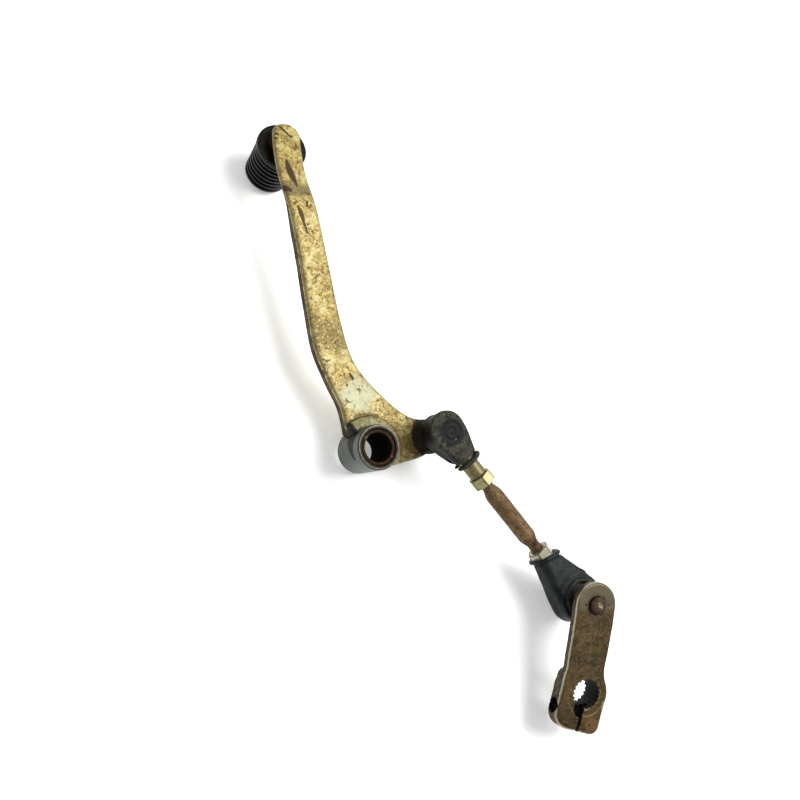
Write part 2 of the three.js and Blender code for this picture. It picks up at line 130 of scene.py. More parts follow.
def arc(centre, radius, start, end):
    """Circle arc from one angle to another, in radians."""
    a = np.linspace(start, end, 24)[:, None]
    return np.array(centre) + radius * np.hstack([np.cos(a), np.sin(a)])


def inside_distance(points, outline):
    """Signed distance from points in the plane to a closed outline, negative inside. The
    distance is to the nearest side, and a point is inside if a ray crosses an odd number."""
    a, b = outline, np.roll(outline, -1, 0)
    shape = points.shape[:-1]
    p = points.reshape(-1, 2)
    best = np.full(len(p), np.inf)
    odd = np.zeros(len(p), bool)
    for start, end in zip(a, b):
        side, to = end - start, p - start
        share = np.clip(to @ side / (side @ side + 1e-12), 0, 1)
        best = np.minimum(best, np.hypot(*(to - share[:, None] * side).T))
        if start[1] != end[1]:
            crossing = (start[1] > p[:, 1]) != (end[1] > p[:, 1])
            odd ^= crossing & (to[:, 0] < to[:, 1] * side[0] / side[1])
    return np.where(odd, -best, best).reshape(shape)


class Plan:
    """An outline's signed distance, sampled on a grid and read back by bilinear blending."""

    def __init__(self, outline, step=0.25, margin=6):
        self.low = outline.min(0) - margin
        self.step = step
        counts = np.ceil((outline.max(0) + margin - self.low) / step).astype(int) + 1
        x, y = (self.low[k] + step * np.arange(counts[k]) for k in range(2))
        grid = np.stack(np.meshgrid(x, y, indexing="ij"), -1)
        self.table = inside_distance(grid, outline)

    def __call__(self, x, y):
        limit = np.array(self.table.shape) - 1.001
        u = np.clip((x - self.low[0]) / self.step, 0, limit[0])
        v = np.clip((y - self.low[1]) / self.step, 0, limit[1])
        i, j = u.astype(int), v.astype(int)
        u, v = u - i, v - j
        near = self.table[i, j] * (1 - v) + self.table[i, j + 1] * v
        far = self.table[i + 1, j] * (1 - v) + self.table[i + 1, j + 1] * v
        return near * (1 - u) + far * u


def rounded(corners, radii, steps=5):
    """An open profile with each inner corner P swapped for a quadratic curve from A to B, the
    points a radius back along its two sides: (1-s)^2 A + 2 s (1-s) P + s^2 B."""
    p = np.array(corners, float)
    radii = np.broadcast_to(np.array(radii, float), len(p) - 2)
    inner, before, after = p[1:-1], p[:-2] - p[1:-1], p[2:] - p[1:-1]
    lengths = [np.linalg.norm(v, axis=1) for v in (before, after)]
    reach = np.minimum(radii, 0.48 * np.minimum(*lengths))
    a = inner + before / lengths[0][:, None] * reach[:, None]
    b = inner + after / lengths[1][:, None] * reach[:, None]
    s = np.linspace(0, 1, steps)[None, :, None]
    curve = (1 - s) ** 2 * a[:, None] + 2 * s * (1 - s) * inner[:, None] + s * s * b[:, None]
    return np.vstack([p[:1], curve.reshape(-1, 2), p[-1:]])


def spaced(line, step):
    """The same line with points every step or closer, by arc length."""
    gaps = np.linalg.norm(np.diff(line, axis=0), axis=1)
    parts = np.maximum(1, np.ceil(gaps / step)).astype(int)
    along = np.concatenate([np.linspace(k, k + 1, n, endpoint=False) for k, n in enumerate(parts)])
    along = np.append(along, len(line) - 1)
    return np.stack([np.interp(along, np.arange(len(line)), c) for c in line.T], -1)


# ---------------- meshes


def put(name, points, faces, body, slot, material, stands_for=(), marks=None, crease=35):
    """Makes one piece from points in mm and faces, outward-facing: the faces are reversed if
    the sum of their signed volumes is negative. marks are its attributes, one value a point."""
    points = np.asarray(points, float)
    corners = np.array([[f[0], f[1], f[2]] for f in faces] + [[f[0], f[2], f[-1]] for f in faces])
    a, b, c = (points[corners[:, k]] for k in range(3))
    if (a * np.cross(b, c)).sum() < 0:
        faces = [f[::-1] for f in faces]
    mesh = bpy.data.meshes.new(name)
    mesh.from_pydata((points * MM).tolist(), [], faces)
    mesh.polygons.foreach_set("use_smooth", np.ones(len(faces), bool))
    mesh.set_sharp_from_angle(angle=np.radians(crease))
    for mark, values in (marks or {}).items():
        layer = mesh.attributes.new(mark, "FLOAT", "POINT")
        layer.data.foreach_set("value", np.asarray(values, np.float32))
    mesh.materials.append(material)
    mesh.update()
    piece = bpy.data.objects.new(name, mesh)
    scene.collection.objects.link(piece)
    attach(piece, body)
    if stands_for:
        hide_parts(*stands_for)


def rings_to_faces(rings, looped=False):
    """Quads between each ring and the next. looped joins the last ring to the first, as on a
    tube with a bore; otherwise a fan to its mean point closes each end."""
    count, around = rings.shape[:2]
    i = np.arange(count if looped else count - 1)[:, None]
    j = np.arange(around)[None]
    a, b = i * around + j, i * around + (j + 1) % around
    up = ((i + 1) % count - i) * around
    faces = np.stack([a, b, b + up, a + up], -1).reshape(-1, 4).tolist()
    points = rings.reshape(-1, 3)
    if not looped:
        points = np.vstack([points, rings[0].mean(0), rings[-1].mean(0)])
        j = np.arange(around)
        after = (j + 1) % around
        last = (count - 1) * around
        faces += np.stack([np.full(around, count * around), after, j], -1).tolist()
        faces += np.stack([np.full(around, count * around + 1), last + j, last + after], -1).tolist()
    return points, faces


def lathe(profile, around):
    """Surface of revolution about Z: (r cos a, r sin a, z) for each profile point and angle."""
    angle = np.linspace(0, 2 * np.pi, around, endpoint=False)
    r, z = profile[:, 0, None], profile[:, 1, None]
    return np.stack([r * np.cos(angle), r * np.sin(angle), z + 0 * angle], -1)


def moved(points, axes, at):
    """Each point turned by the matrix and then carried to its place."""
    return points @ axes.T + np.array(at, float)


def skin(field, low, high, step):
    """The zero surface of a signed distance, by surface nets: a cell that the surface crosses
    gets one point, the mean of the crossings on its edges, and each crossed grid edge gets a
    quad of the four cells round it. Three Newton steps along the slope then settle the points."""
    low = np.array(low, float)
    axes = [np.arange(low[k], high[k] + step, step) for k in range(3)]
    grid = np.stack(np.meshgrid(*axes, indexing="ij"), -1)
    value = np.empty(grid.shape[:3])
    for k in range(len(axes[0])):
        value[k] = field(grid[k])
    sign = value < 0
    cells = tuple(n - 1 for n in value.shape)
    total, hits = np.zeros(cells + (3,)), np.zeros(cells)

    def part(array, corner):
        """The array's values at one corner of every cell."""
        return array[tuple(slice(o, o + n) for o, n in zip(corner, cells))]

    for first in np.ndindex(2, 2, 2):
        for k in range(3):
            if first[k]:
                continue
            second = tuple(o + (m == k) for m, o in enumerate(first))
            a, b = part(value, first), part(value, second)
            crossed = part(sign, first) != part(sign, second)
            share = np.where(crossed, a / np.where(crossed, a - b, 1), 0)
            place = np.zeros(cells + (3,)) + first
            place[..., k] += share
            total += place * crossed[..., None]
            hits += crossed
    used = hits > 0
    index = np.full(cells, -1)
    index[used] = np.arange(used.sum())
    where = np.stack(np.nonzero(used), -1)
    points = low + step * (where + total[used] / hits[used][:, None])
    faces = []
    for k in range(3):
        m, n = (k + 1) % 3, (k + 2) % 3
        a = sign[tuple(slice(1, -1) if q != k else slice(0, -1) for q in range(3))]
        b = sign[tuple(slice(1, -1) if q != k else slice(1, None) for q in range(3))]
        spots = np.stack(np.nonzero(a != b), -1)
        flip = a[tuple(spots.T)]
        spots = spots + [0 if q == k else 1 for q in range(3)]
        ring = []
        for dm, dn in ((0, 0), (1, 0), (1, 1), (0, 1)):
            cell = spots.copy()
            cell[:, m] -= dm
            cell[:, n] -= dn
            ring.append(index[tuple(cell.T)])
        quad = np.stack(ring, -1)
        faces.append(np.where(flip[:, None], quad, quad[:, ::-1]))
    faces = np.vstack(faces)
    for _ in range(3):
        here = field(points)
        small = 0.3 * step
        slope = np.stack([
            (field(points + small * e) - field(points - small * e)) / (2 * small) for e in np.eye(3)
        ], -1)
        move = here[:, None] * slope / np.maximum((slope**2).sum(-1), 0.2)[:, None]
        size = np.linalg.norm(move, axis=1, keepdims=True)
        points = points - move * np.minimum(1, 0.6 * step / np.maximum(size, 1e-9))
    return points, faces.tolist()


# ---------------- materials


def colour(text):
    """sRGB hex to linear: c / 12.92 below 0.04045, else ((c + 0.055) / 1.055) to the 2.4."""
    c = np.array([int(text[k : k + 2], 16) for k in (1, 3, 5)]) / 255
    linear = np.where(c <= 0.04045, c / 12.92, ((c + 0.055) / 1.055) ** 2.4)
    return (*map(float, linear), 1.0)


def add(tree, kind, inputs=None, **settings):
    """Adds a node with its settings, and sets or links its inputs, named or numbered."""
    made = tree.nodes.new("ShaderNode" + kind)
    for key, value in settings.items():
        setattr(made, key, value)
    for key, value in (inputs or {}).items():
        if isinstance(value, bpy.types.NodeSocket):
            tree.links.new(value, made.inputs[key])
        else:
            made.inputs[key].default_value = value
    return made


def place(tree, size, seed, stretch=(1, 1, 1)):
    """Object coordinates scaled so that a pattern's unit is size mm, shifted by seed."""
    spot = add(tree, "TexCoord").outputs["Object"]
    scale = [1 / (MM * size * s) for s in stretch]
    return add(tree, "Mapping", {
        "Vector": spot, "Location": (seed * 3.7, seed * 1.3, seed * 2.1), "Scale": scale,
    }).outputs[0]


def blotch(size, low, high, seed, detail=5.0, stretch=(1, 1, 1)):
    """Cloudy patches about size mm across: noise, kept where it passes from low to high."""
    def pattern(tree):
        cloud = add(tree, "TexNoise", {
            "Vector": place(tree, size, seed, stretch), "Scale": 1.0, "Detail": detail,
            "Roughness": 0.6, "Distortion": 0.4,
        }).outputs[0]
        return add(tree, "MapRange", {0: cloud, 1: low, 2: high},
                   interpolation_type="SMOOTHSTEP").outputs[0]
    return pattern


def pits(spacing, share, radius, seed):
    """Round pits: one at the middle of a share of the cells, radius of a cell wide, and of
    uneven size, with an edge roughened by fine noise."""
    def pattern(tree):
        spot = place(tree, spacing, seed)
        cell = add(tree, "TexVoronoi", {"Vector": spot, "Scale": 1.0})
        fray = add(tree, "TexNoise", {"Vector": spot, "Scale": 5.0, "Detail": 2.0})
        draw = add(tree, "SeparateColor", {0: cell.outputs["Color"]})
        size = add(tree, "MapRange", {0: draw.outputs[0], 1: 1 - share, 2: 1.0,
                                                3: 0.0, 4: radius}).outputs[0]
        near = add(tree, "Math", {0: fray.outputs[0], 1: 0.35 * radius,
                                            2: cell.outputs["Distance"]},
                   operation="MULTIPLY_ADD").outputs[0]
        low = add(tree, "Math", {0: size, 1: 0.5}, operation="MULTIPLY").outputs[0]
        return add(tree, "MapRange", {0: near, 1: low, 2: size, 3: 1.0, 4: 0.0},
                   interpolation_type="SMOOTHSTEP").outputs[0]
    return pattern


def marked(attribute, low, high, size, fray, seed):
    """A painted mask with its edge broken up: the attribute plus fray times centred noise,
    kept where it passes from low to high."""
    def pattern(tree):
        paint = add(tree, "Attribute", attribute_name=attribute).outputs["Fac"]
        cloud = add(tree, "TexNoise", {
            "Vector": place(tree, size, seed), "Scale": 1.0, "Detail": 6.0, "Roughness": 0.65,
        }).outputs[0]
        centred = add(tree, "Math", {0: cloud, 1: 0.5}, operation="SUBTRACT").outputs[0]
        total = add(tree, "Math", {0: centred, 1: 2 * fray, 2: paint},
                    operation="MULTIPLY_ADD").outputs[0]
        return add(tree, "MapRange", {0: total, 1: low, 2: high},
                   interpolation_type="SMOOTHSTEP").outputs[0]
    return pattern


def both(one, other):
    """Where two patterns meet: their product."""
    def pattern(tree):
        return add(tree, "Math", {0: one(tree), 1: other(tree)},
                   operation="MULTIPLY").outputs[0]
    return pattern


UNCHANGED = (None, 1.0, None, None, 0.0)


def finish(name, ground, roughness, metallic, layers=(), specular=None):
    """A material built up in layers. Each layer is (pattern, colour or None, strength,
    roughness or None, metallic or None, height in mm), and UNCHANGED fills in what it leaves
    out at its end. The pattern is its mask."""
    material = bpy.data.materials.new(name)
    material.use_nodes = True
    tree = material.node_tree
    shader = tree.nodes["Principled BSDF"]
    values = {"Base Color": colour(ground), "Roughness": roughness, "Metallic": metallic}
    height = None
    for entry in layers:
        pattern, tint, strength, rough_to, metal_to, rise = (*entry, *UNCHANGED[len(entry) - 1 :])
        mask = pattern(tree)
        part = mask
        if strength != 1:
            part = add(tree, "Math", {0: mask, 1: strength},
                       operation="MULTIPLY").outputs[0]
        if tint:
            values["Base Color"] = add(tree, "Mix", {
                0: part, 6: values["Base Color"], 7: colour(tint)}, data_type="RGBA").outputs[2]
        for key, target in (("Roughness", rough_to), ("Metallic", metal_to)):
            if target is not None:
                values[key] = add(tree, "Mix", {
                    0: part, 2: values[key], 3: target}).outputs[0]
        if rise:
            height = add(tree, "Math", {
                0: mask, 1: rise, 2: height if height else 0.0}, operation="MULTIPLY_ADD").outputs[0]
    if specular is not None:
        shader.inputs["Specular IOR Level"].default_value = specular
    for key, value in values.items():
        if isinstance(value, bpy.types.NodeSocket):
            tree.links.new(value, shader.inputs[key])
        else:
            shader.inputs[key].default_value = value
    if height:
        bump = add(tree, "Bump", {"Height": height, "Distance": MM, "Strength": 1.0})
        tree.links.new(bump.outputs[0], shader.inputs["Normal"])
    return material


# Yellow zinc passivate on a forged steel bar: a dull straw film with brown specks of rust. A darker
# band across the toe bend is painted shade, and the near-black patches by the ball joint and the
# tube are painted shade over some grime.
lever_zinc = finish("yellow_zinc_passivate_on_forged_steel", "#AF9A58", 0.5, 0.18, [
    (blotch(16, 0.42, 0.60, 1), "#C2AE6A", 0.8),
    (marked("dull", 0.30, 0.75, 6, 0.35, 17), "#7D6A38", 0.85, 0.6),
    (blotch(4.5, 0.46, 0.62, 2), "#8A7236", 0.65),
    (blotch(1.3, 0.47, 0.60, 3), "#6C5826", 0.72, 0.55, None, -0.03),
    (blotch(7.0, 0.50, 0.64, 27), "#CFC690", 0.6),
    (blotch(0.9, 0.54, 0.66, 18), "#D9CF9C", 0.6, 0.35),
    (marked("pale", 0.35, 0.75, 5, 0.45, 4), "#B9BB9E", 0.80, 0.55),
    # A darker band across the toe bend: painted shade.
    (marked("bend_shade", 0.35, 0.80, 3, 0.50, 5), "#6E6340", 0.80, 0.5),
    (blotch(3.0, 0.57, 0.66, 19, 6), "#5E4518", 0.85, 0.6, 0.1, -0.03),
    (pits(1.5, 0.42, 0.42, 6), "#3C2C10", 0.85, 0.6, 0.1, -0.05),
    (both(pits(1.7, 0.65, 0.46, 7), marked("pitted", 0.3, 0.7, 5, 0.6, 8)),
     "#2E2110", 0.92, 0.7, 0.1, -0.12),
    (both(blotch(2.2, 0.47, 0.60, 20), marked("pitted", 0.35, 0.75, 4, 0.5, 8)),
     "#6B5C2C", 0.75, 0.6, 0.1, -0.04),
    (marked("brown", 0.42, 0.72, 2.2, 0.55, 9), "#5E4A22", 0.8, 0.65, 0.1),
    (marked("wall", 0.40, 0.60, 2.0, 0.15, 10), "#40362A", 0.92, 0.55, 0.3),
    (both(marked("wall", 0.40, 0.60, 2.0, 0.15, 10), blotch(5, 0.44, 0.56, 11, 6)),
     "#33221C", 0.88, 0.75, 0.1, -0.05),
    (marked("edge", 0.50, 0.80, 2.5, 0.35, 12), "#6E6752", 0.6, 0.4, 0.5),
    (marked("scar", 0.02, 0.22, 0.9, 0.14, 13), "#57421C", 0.85, 0.7, 0.1, -0.08),
    (marked("scar", 0.30, 0.50, 0.9, 0.25, 14), "#4A3A2A", 0.95, 0.6, 0.3, -0.10),
    # Near black round the front ball joint and in the corner by the tube: painted shade, with some
    # grime.
    (marked("grime_and_shade", 0.35, 0.75, 2.5, 0.45, 15), "#1F1A10", 0.88, 0.8, 0.0),
    (blotch(0.35, 0.3, 0.7, 16), *UNCHANGED[:4], 0.02),
])
# The same film over the weld bead, burnt brown along the bead's toe.
weld_zinc = finish("zinc_passivate_on_weld_bead", "#827B55", 0.5, 0.2, [
    (blotch(3.0, 0.45, 0.62, 21), "#A39D76", 0.8),
    (blotch(1.4, 0.50, 0.66, 26), "#5E5130", 0.8),
    (marked("toe", 0.35, 0.75, 1.8, 0.55, 22), "#54431F", 0.85, 0.7, 0.1),
    (pits(1.2, 0.3, 0.35, 23), "#3A2C14", 0.8, 0.7, 0.0, -0.06),
    (marked("burnt", 0.4, 0.6, 1.5, 0.5, 24), "#131817", 0.95, 0.6, 0.3),
    (blotch(0.5, 0.3, 0.7, 25), *UNCHANGED[:4], 0.05),
])
# Plain steel tube with its plating worn to grey; the rim and mouth are stained brown, and a painted
# gleam lies on the rim's face by its outer edge.
tube_steel = finish("worn_grey_plated_steel_tube", "#585D58", 0.45, 0.35, [
    (blotch(7, 0.42, 0.65, 31), "#6C716B", 0.6),
    (blotch(2.4, 0.5, 0.7, 32, stretch=(1, 1, 3)), "#50534E", 0.5),
    (blotch(1.2, 0.60, 0.70, 38), "#464137", 0.6),
    (marked("rim", 0.25, 0.60, 2.0, 0.40, 33), "#2C261C", 0.95, 0.6, 0.1),
    (both(marked("rim", 0.3, 0.7, 2, 0.3, 33), blotch(1.5, 0.5, 0.62, 34)),
     "#241C12", 0.85, 0.7, 0.1, -0.05),
    (marked("burnt", 0.20, 0.42, 1.6, 0.35, 35), "#0A0E0D", 0.98, 0.6, 0.0, 0.05),
    (marked("gleam", 0.45, 0.8, 1.5, 0.5, 36), "#8C8474", 0.7, 0.3, 0.7),
    (blotch(0.5, 0.3, 0.7, 37, stretch=(1, 1, 0.3)), *UNCHANGED[:4], 0.015),
])
# Sintered bronze bush, brown at its lip, with near-black painted shade down inside its bore.
bush_bronze = finish("sintered_bronze_with_bore_shade", "#3D2D1C", 0.6, 0.1, [
    (blotch(1.6, 0.45, 0.65, 41), "#2A1D10", 0.75, 0.6, 0.2),
    (blotch(2.2, 0.56, 0.68, 42), "#7A6248", 0.75, 0.35),
    # Near black down inside the bore: painted shade.
    (marked("bore_shade", 0.35, 0.65, 1.5, 0.3, 43), "#020202", 0.99, 0.9, 0.0),
], specular=0.12)
dark_weld = finish("scaled_weld_steel", "#3A342B", 0.65, 0.4, [
    (blotch(1.5, 0.45, 0.65, 45), "#211D18", 0.8),
    (blotch(0.6, 0.3, 0.7, 46), *UNCHANGED[:4], 0.06)])
plain_steel = finish("plain_drawn_steel", "#77766F", 0.42, 0.7, [
    (blotch(2, 0.5, 0.68, 47), "#4F3B28", 0.7, 0.7, 0.2)])
nylon = finish("black_greasy_nylon", "#0C0B0A", 0.5, 0.0, [
    (blotch(3, 0.5, 0.7, 48), "#181510", 0.6)], specular=0.3)
# Moulded natural rubber sleeve: glossy black ribs, lighter on their crests with a painted sheen and
# some dust, and road dust on its flange.
sleeve_rubber = finish("moulded_black_rubber", "#060706", 0.28, 0.0, [
    (blotch(5, 0.4, 0.65, 51), "#121311", 0.8, 0.36),
    # Lighter on the rib crests: a painted sheen, with some dust.
    (marked("crest", 0.45, 0.85, 2.0, 0.35, 52), "#1E201D", 0.8, 0.22),
    (marked("dust", 0.50, 1.00, 3.0, 0.65, 53), "#332C22", 0.6, 0.75),
    (blotch(0.7, 0.35, 0.65, 54), *UNCHANGED[:4], 0.03),
], specular=0.3)
# Perished chloroprene boot: faded grey-black and dusty on its raised parts, with near-black painted
# shade in its folds, on the front drum's sides and round the stud's hole.
boot_rubber = finish("perished_chloroprene_rubber", "#161A1A", 0.50, 0.0, [
    (blotch(6, 0.42, 0.62, 61), "#23292A", 0.7),
    (marked("dust", 0.30, 0.75, 3.0, 0.50, 62), "#403F37", 0.9, 0.7),
    (both(marked("dust", 0.3, 0.7, 2, 0.3, 62), blotch(2.4, 0.46, 0.60, 63)),
     "#26261F", 0.9, 0.8, None, -0.04),
    (both(marked("dust", 0.3, 0.7, 2, 0.3, 62), blotch(1.2, 0.54, 0.66, 64)),
     "#625B44", 0.8, 0.75, None, 0.04),
    # Near black in the folds, on the front drum's sides and round the stud's hole: painted shade.
    (marked("fold_shade", 0.35, 0.75, 1.5, 0.35, 65), "#060808", 0.95, 0.6),
    (blotch(0.6, 0.3, 0.7, 66), *UNCHANGED[:4], 0.035),
], specular=0.3)
# Cold-forged rod end with a dull film of zinc, brown at its edges.
rod_end_zinc = finish("dull_zinc_on_cold_forged_steel", "#766B4A", 0.42, 0.35, [
    (blotch(3, 0.45, 0.65, 71), "#5E5336", 0.7),
    (blotch(1.2, 0.52, 0.68, 72), "#938862", 0.6, 0.35),
    (blotch(2.0, 0.60, 0.70, 73), "#3C2C16", 0.8, 0.7, 0.1),
    (marked("greased", 0.3, 0.7, 1.5, 0.3, 74), "#0B0907", 0.97, 0.7, 0.0),
])
nut_yellow, nut_silver = (
    finish(name, ground, roughness, metallic, [
        (blotch(2.2, 0.45, 0.68, seed), dull, 0.7),
        (blotch(0.9, 0.52, 0.68, seed + 1), light, 0.7, shine),
        (marked("edge", 0.45, 0.9, 1.5, 0.5, seed + 2), worn, 0.75, 0.55),
    ]) for name, ground, roughness, metallic, dull, light, shine, worn, seed in (
        ("yellow_zinc_on_turned_steel", "#ADA77E", 0.34, 0.4, "#857E58", "#C4BF97", 0.28,
         "#574C2C", 75),
        ("bright_zinc_on_turned_steel", "#A6A391", 0.30, 0.5, "#857F69", "#CFCCBE", 0.26,
         "#5F5540", 81)))
# Mild steel rod, its plating gone: tan rust worn by handling, with one dark red run.
rod_rust = finish("handled_rust_on_mild_steel", "#664F31", 0.55, 0.15, [
    (blotch(8, 0.42, 0.60, 85), "#7E6541", 0.8),
    (blotch(3.0, 0.48, 0.64, 86), "#553A1E", 0.75, 0.7, None, -0.05),
    (blotch(1.0, 0.52, 0.66, 87), "#38260F", 0.6, 0.8, None, -0.05),
    (blotch(1.8, 0.60, 0.70, 95), "#92795A", 0.6, 0.5),
    (marked("run", 0.38, 0.62, 3.0, 0.55, 88), "#331610", 0.9, 0.6, 0.1, -0.04),
    (marked("thread", 0.4, 0.6, 1.0, 0.1, 89), "#5A4C2C", 0.8, 0.5, 0.4),
    (blotch(0.5, 0.3, 0.7, 90), *UNCHANGED[:4], 0.04),
])
# Riveted stud, red-brown with rust; its peened head has bright high spots on top, partly a painted
# highlight, and painted shade round its foot.
stud_rust = finish("red_rust_on_peened_steel", "#3E2D20", 0.50, 0.3, [
    (blotch(1.4, 0.45, 0.62, 91), "#5A4634", 0.8, 0.42),
    # Darker round the foot of the head: painted shade.
    (marked("skirt_shade", 0.35, 0.7, 1.2, 0.4, 92), "#24130F", 0.9, 0.5),
    # Bright on the dome's top: peened metal and a painted highlight.
    (marked("peen_and_highlight", 0.62, 0.80, 0.9, 0.9, 93), "#A99C84", 0.85, 0.3, 0.7),
    (blotch(0.7, 0.35, 0.65, 94), *UNCHANGED[:4], 0.14),
])
# Forged clamp arm: tarnished olive-brown steel with dark pits and worn, bright edges, a painted
# highlight along those on its left; its holes, slit and the rivet's foot have near-black painted
# shade.
arm_steel = finish("tarnished_forged_steel", "#4A3B20", 0.44, 0.35, [
    (blotch(12, 0.42, 0.60, 101), "#5C4727", 0.8),
    (blotch(3.4, 0.47, 0.62, 102), "#332910", 0.8),
    (blotch(1.0, 0.50, 0.66, 103), "#736440", 0.75, 0.36),
    (marked("grey", 0.30, 0.75, 4.0, 0.4, 104), "#625B48", 0.85, 0.42),
    (marked("tan", 0.35, 0.80, 4.0, 0.5, 113), "#73593A", 0.75, 0.5),
    (pits(2.3, 0.46, 0.46, 105), "#1A1206", 0.9, 0.7, 0.1, -0.14),
    (pits(1.1, 0.28, 0.32, 106), "#2C210E", 0.8, 0.7, 0.1, -0.07),
    (marked("ring", 0.30, 0.7, 1.6, 0.6, 107), "#64583A", 0.5, 0.38),
    (marked("wall", 0.50, 0.72, 1.6, 0.2, 108), "#463A24", 0.9, 0.5, 0.3),
    (both(marked("wall", 0.40, 0.60, 2.0, 0.15, 108), blotch(2.2, 0.48, 0.60, 109, 6)),
     "#1E160D", 0.88, 0.75, 0.1, -0.08),
    # Bright worn edges and rubbed streaks, with a painted highlight along the left edges.
    (marked("bare_and_highlight", 0.46, 0.70, 1.4, 0.55, 110), "#A39C88", 0.85, 0.30, 0.75),
    # Near black in the bore, slit, bolt hole, break-out and round the rivet's foot: painted shade.
    (marked("dark", 0.40, 0.65, 1.2, 0.25, 111), "#0A0A09", 0.96, 0.6, 0.1),
    (blotch(0.4, 0.3, 0.7, 112), *UNCHANGED[:4], 0.03),
])

# ---------------- pedal lever

TOP, BOTTOM, EDGE_ROUND = 12.5, 5.0, 2.4
TUBE_R, TUBE_BORE_R, TUBE_LENGTH = 10.0, 8.15, 23.0
BUSH_R, BUSH_BORE_R, BUSH_RECESS = 8.03, 6.4, 0.6
BEND_START, BEND_END, BEND_ANGLE = 104.0, 122.0, 12
BEND_SLOPE = np.tan(np.radians(BEND_ANGLE))
PAD_THICKNESS = 3.9
PAD_TAPER = (94, 118)
BALL_AT = np.array([32.0, 7.6, 24.0])
BALL_R = 4.5
ROD_ANGLE = -47.1
SPAN = 101.0

plan_points = np.vstack([
    through([(9, -7.6), (16.5, -5.6), (26, -2.6), (30.4, -0.45)]),
    arc(BALL_AT[:2], 8.2, -1.75, 1.4),
    through([(33.4, 15.7), (21.4, 15.7), (8, 24), (-6.1, 38.2), (-12.9, 56), (-18.8, 81),
             (-24.7, 106), (-29.4, 121), (-31.1, 135), (-31.3, 142)]),
    arc((-37.9, 141.4), 6.6, 0.1, np.pi - 0.15),
    through([(-44.4, 142.4), (-44.4, 134), (-42.8, 120.5), (-38.2, 105), (-34, 86),
             (-30, 63.5), (-25.8, 43.5), (-19, 28.5), (-13.4, 18), (-10.4, 7)]),
    [(-4, 0)],
])
lever_plan = Plan(plan_points)


def sag(y):
    """How far the bar drops past the bend: a parabola between the bend's ends and then a
    straight slope, so that the toe pad leans without a crease."""
    t = np.clip(y - BEND_START, 0, BEND_END - BEND_START)
    return BEND_SLOPE * (t * t / (2 * (BEND_END - BEND_START)) + np.maximum(y - BEND_END, 0))


def lever_field(p):
    """The bar: the plan's distance and the distance to its two faces, met with a round edge.
    The faces follow sag, and the lower one rises into the thin toe pad. The tube's hole is
    cut out."""
    x, y, z = p[..., 0], p[..., 1], p[..., 2] + sag(p[..., 1])
    thick = TOP - BOTTOM - (TOP - BOTTOM - PAD_THICKNESS) * ramp(y, *PAD_TAPER)
    middle = TOP - thick / 2
    round_off = np.minimum(EDGE_ROUND, 0.48 * thick)
    body = slab(lever_plan(x, y), np.abs(z - middle) - thick / 2, round_off)
    body = body + 0.05 * noise(p, 5.0, 3)
    return cut(body, np.hypot(x, y) - TUBE_R - 0.02, 0.2)


def streak(points, route, widths):
    """A mark along a route: 1 on its middle line, falling to 0 at half its width, which is
    blended between the widths at the route's points."""
    best = np.zeros(len(points))
    route = np.array(route, float)
    for a, b, wide_a, wide_b in zip(route, route[1:], widths, widths[1:]):
        side = b - a
        t = np.clip((points[:, :2] - a) @ side / (side @ side), 0, 1)
        away = np.linalg.norm(points[:, :2] - a - t[:, None] * side, axis=1)
        best = np.maximum(best, 1 - away / (wide_a + (wide_b - wide_a) * t))
    return np.clip(best, 0, 1)


SCARS = (
    ([(-41.4, 145.2), (-36.1, 140.6)], [0.55, 0.45]),
    ([(-39.3, 128.6), (-38.5, 124.5), (-37.0, 120.6), (-34.9, 116.2)],
     [0.4, 1.9, 1.9, 0.3]),
    ([(-40.4, 114.2), (-38.2, 113.6)], [1.6, 1.0]),
    ([(-34.7, 106.9), (-33.3, 103.6), (-32.0, 100.1), (-30.2, 94.8)],
     [0.3, 1.1, 0.6, 0.3]),
    ([(-43.2, 141.2), (-42.6, 140.9)], [0.7, 0.5]),
    ([(-43.6, 138.9), (-42.9, 138.6)], [0.5, 0.4]),
    ([(-30.5, 109.4), (-30.3, 107.5)], [0.5, 0.4]),
    ([(-9.6, 33.4), (-8.0, 31.2)], [0.3, 0.8]),
)

points, faces = skin(lever_field, (-47, -10, -4), (43, 150, 14), 0.5)
x, y = points[:, 0], points[:, 1]
inside = -lever_plan(x, y)
below_top = TOP - (points[:, 2] + sag(y))
radius = np.hypot(x, y)
lever_marks = {
    "wall": ramp(below_top, 1.6, 2.4) * ramp(inside, 1.2, 0.4),
    "edge": hump(below_top, 0.8, 0.9) * ramp(inside, 2.2, 0.6),
    "pale": 0.85 * np.exp(-(((x + 5) / 13) ** 2) - ((y - 24) / 11) ** 2),
    # A band across the toe bend, for painted shade.
    "bend_shade": 0.9 * hump(y, 114.5, 4.5),
    "brown": np.maximum(0.75 * hump(radius, 15.4, 1.5) * (y > -2),
                        0.6 * ramp(x, 12, 26) * ramp(inside, 8, 1)),
    "pitted": np.clip(0.42 * ramp(radius, 36, 18) + 0.6 * ramp(x, 8, 17), 0, 1),
    "dull": np.maximum(0.7 * hump(y, 50, 13), 0.9 * ramp(x, 10, 22)),
    # Round the front boot and in the corner by the tube: painted shade, with some grime.
    "grime_and_shade": np.maximum(ramp(np.hypot(x - BALL_AT[0], y - BALL_AT[1]), 13.0, 9.0),
                        0.8 * ramp(np.hypot(x + 12.5, y - 5), 7.0, 2.5)),
    "scar": np.maximum.reduce([streak(points, *scar) for scar in SCARS]) * (below_top < 1.5),
}
put("lever_bar", points, faces, "lever", "zinc_yellow", lever_zinc, ["lever_arm"], lever_marks, 60)

# ---------------- pivot


def polar(points):
    """Each point's distance from the Z axis, its angle about it in degrees and its height."""
    x, y, z = points.T
    return np.hypot(x, y), np.degrees(np.arctan2(y, x)) % 360, z


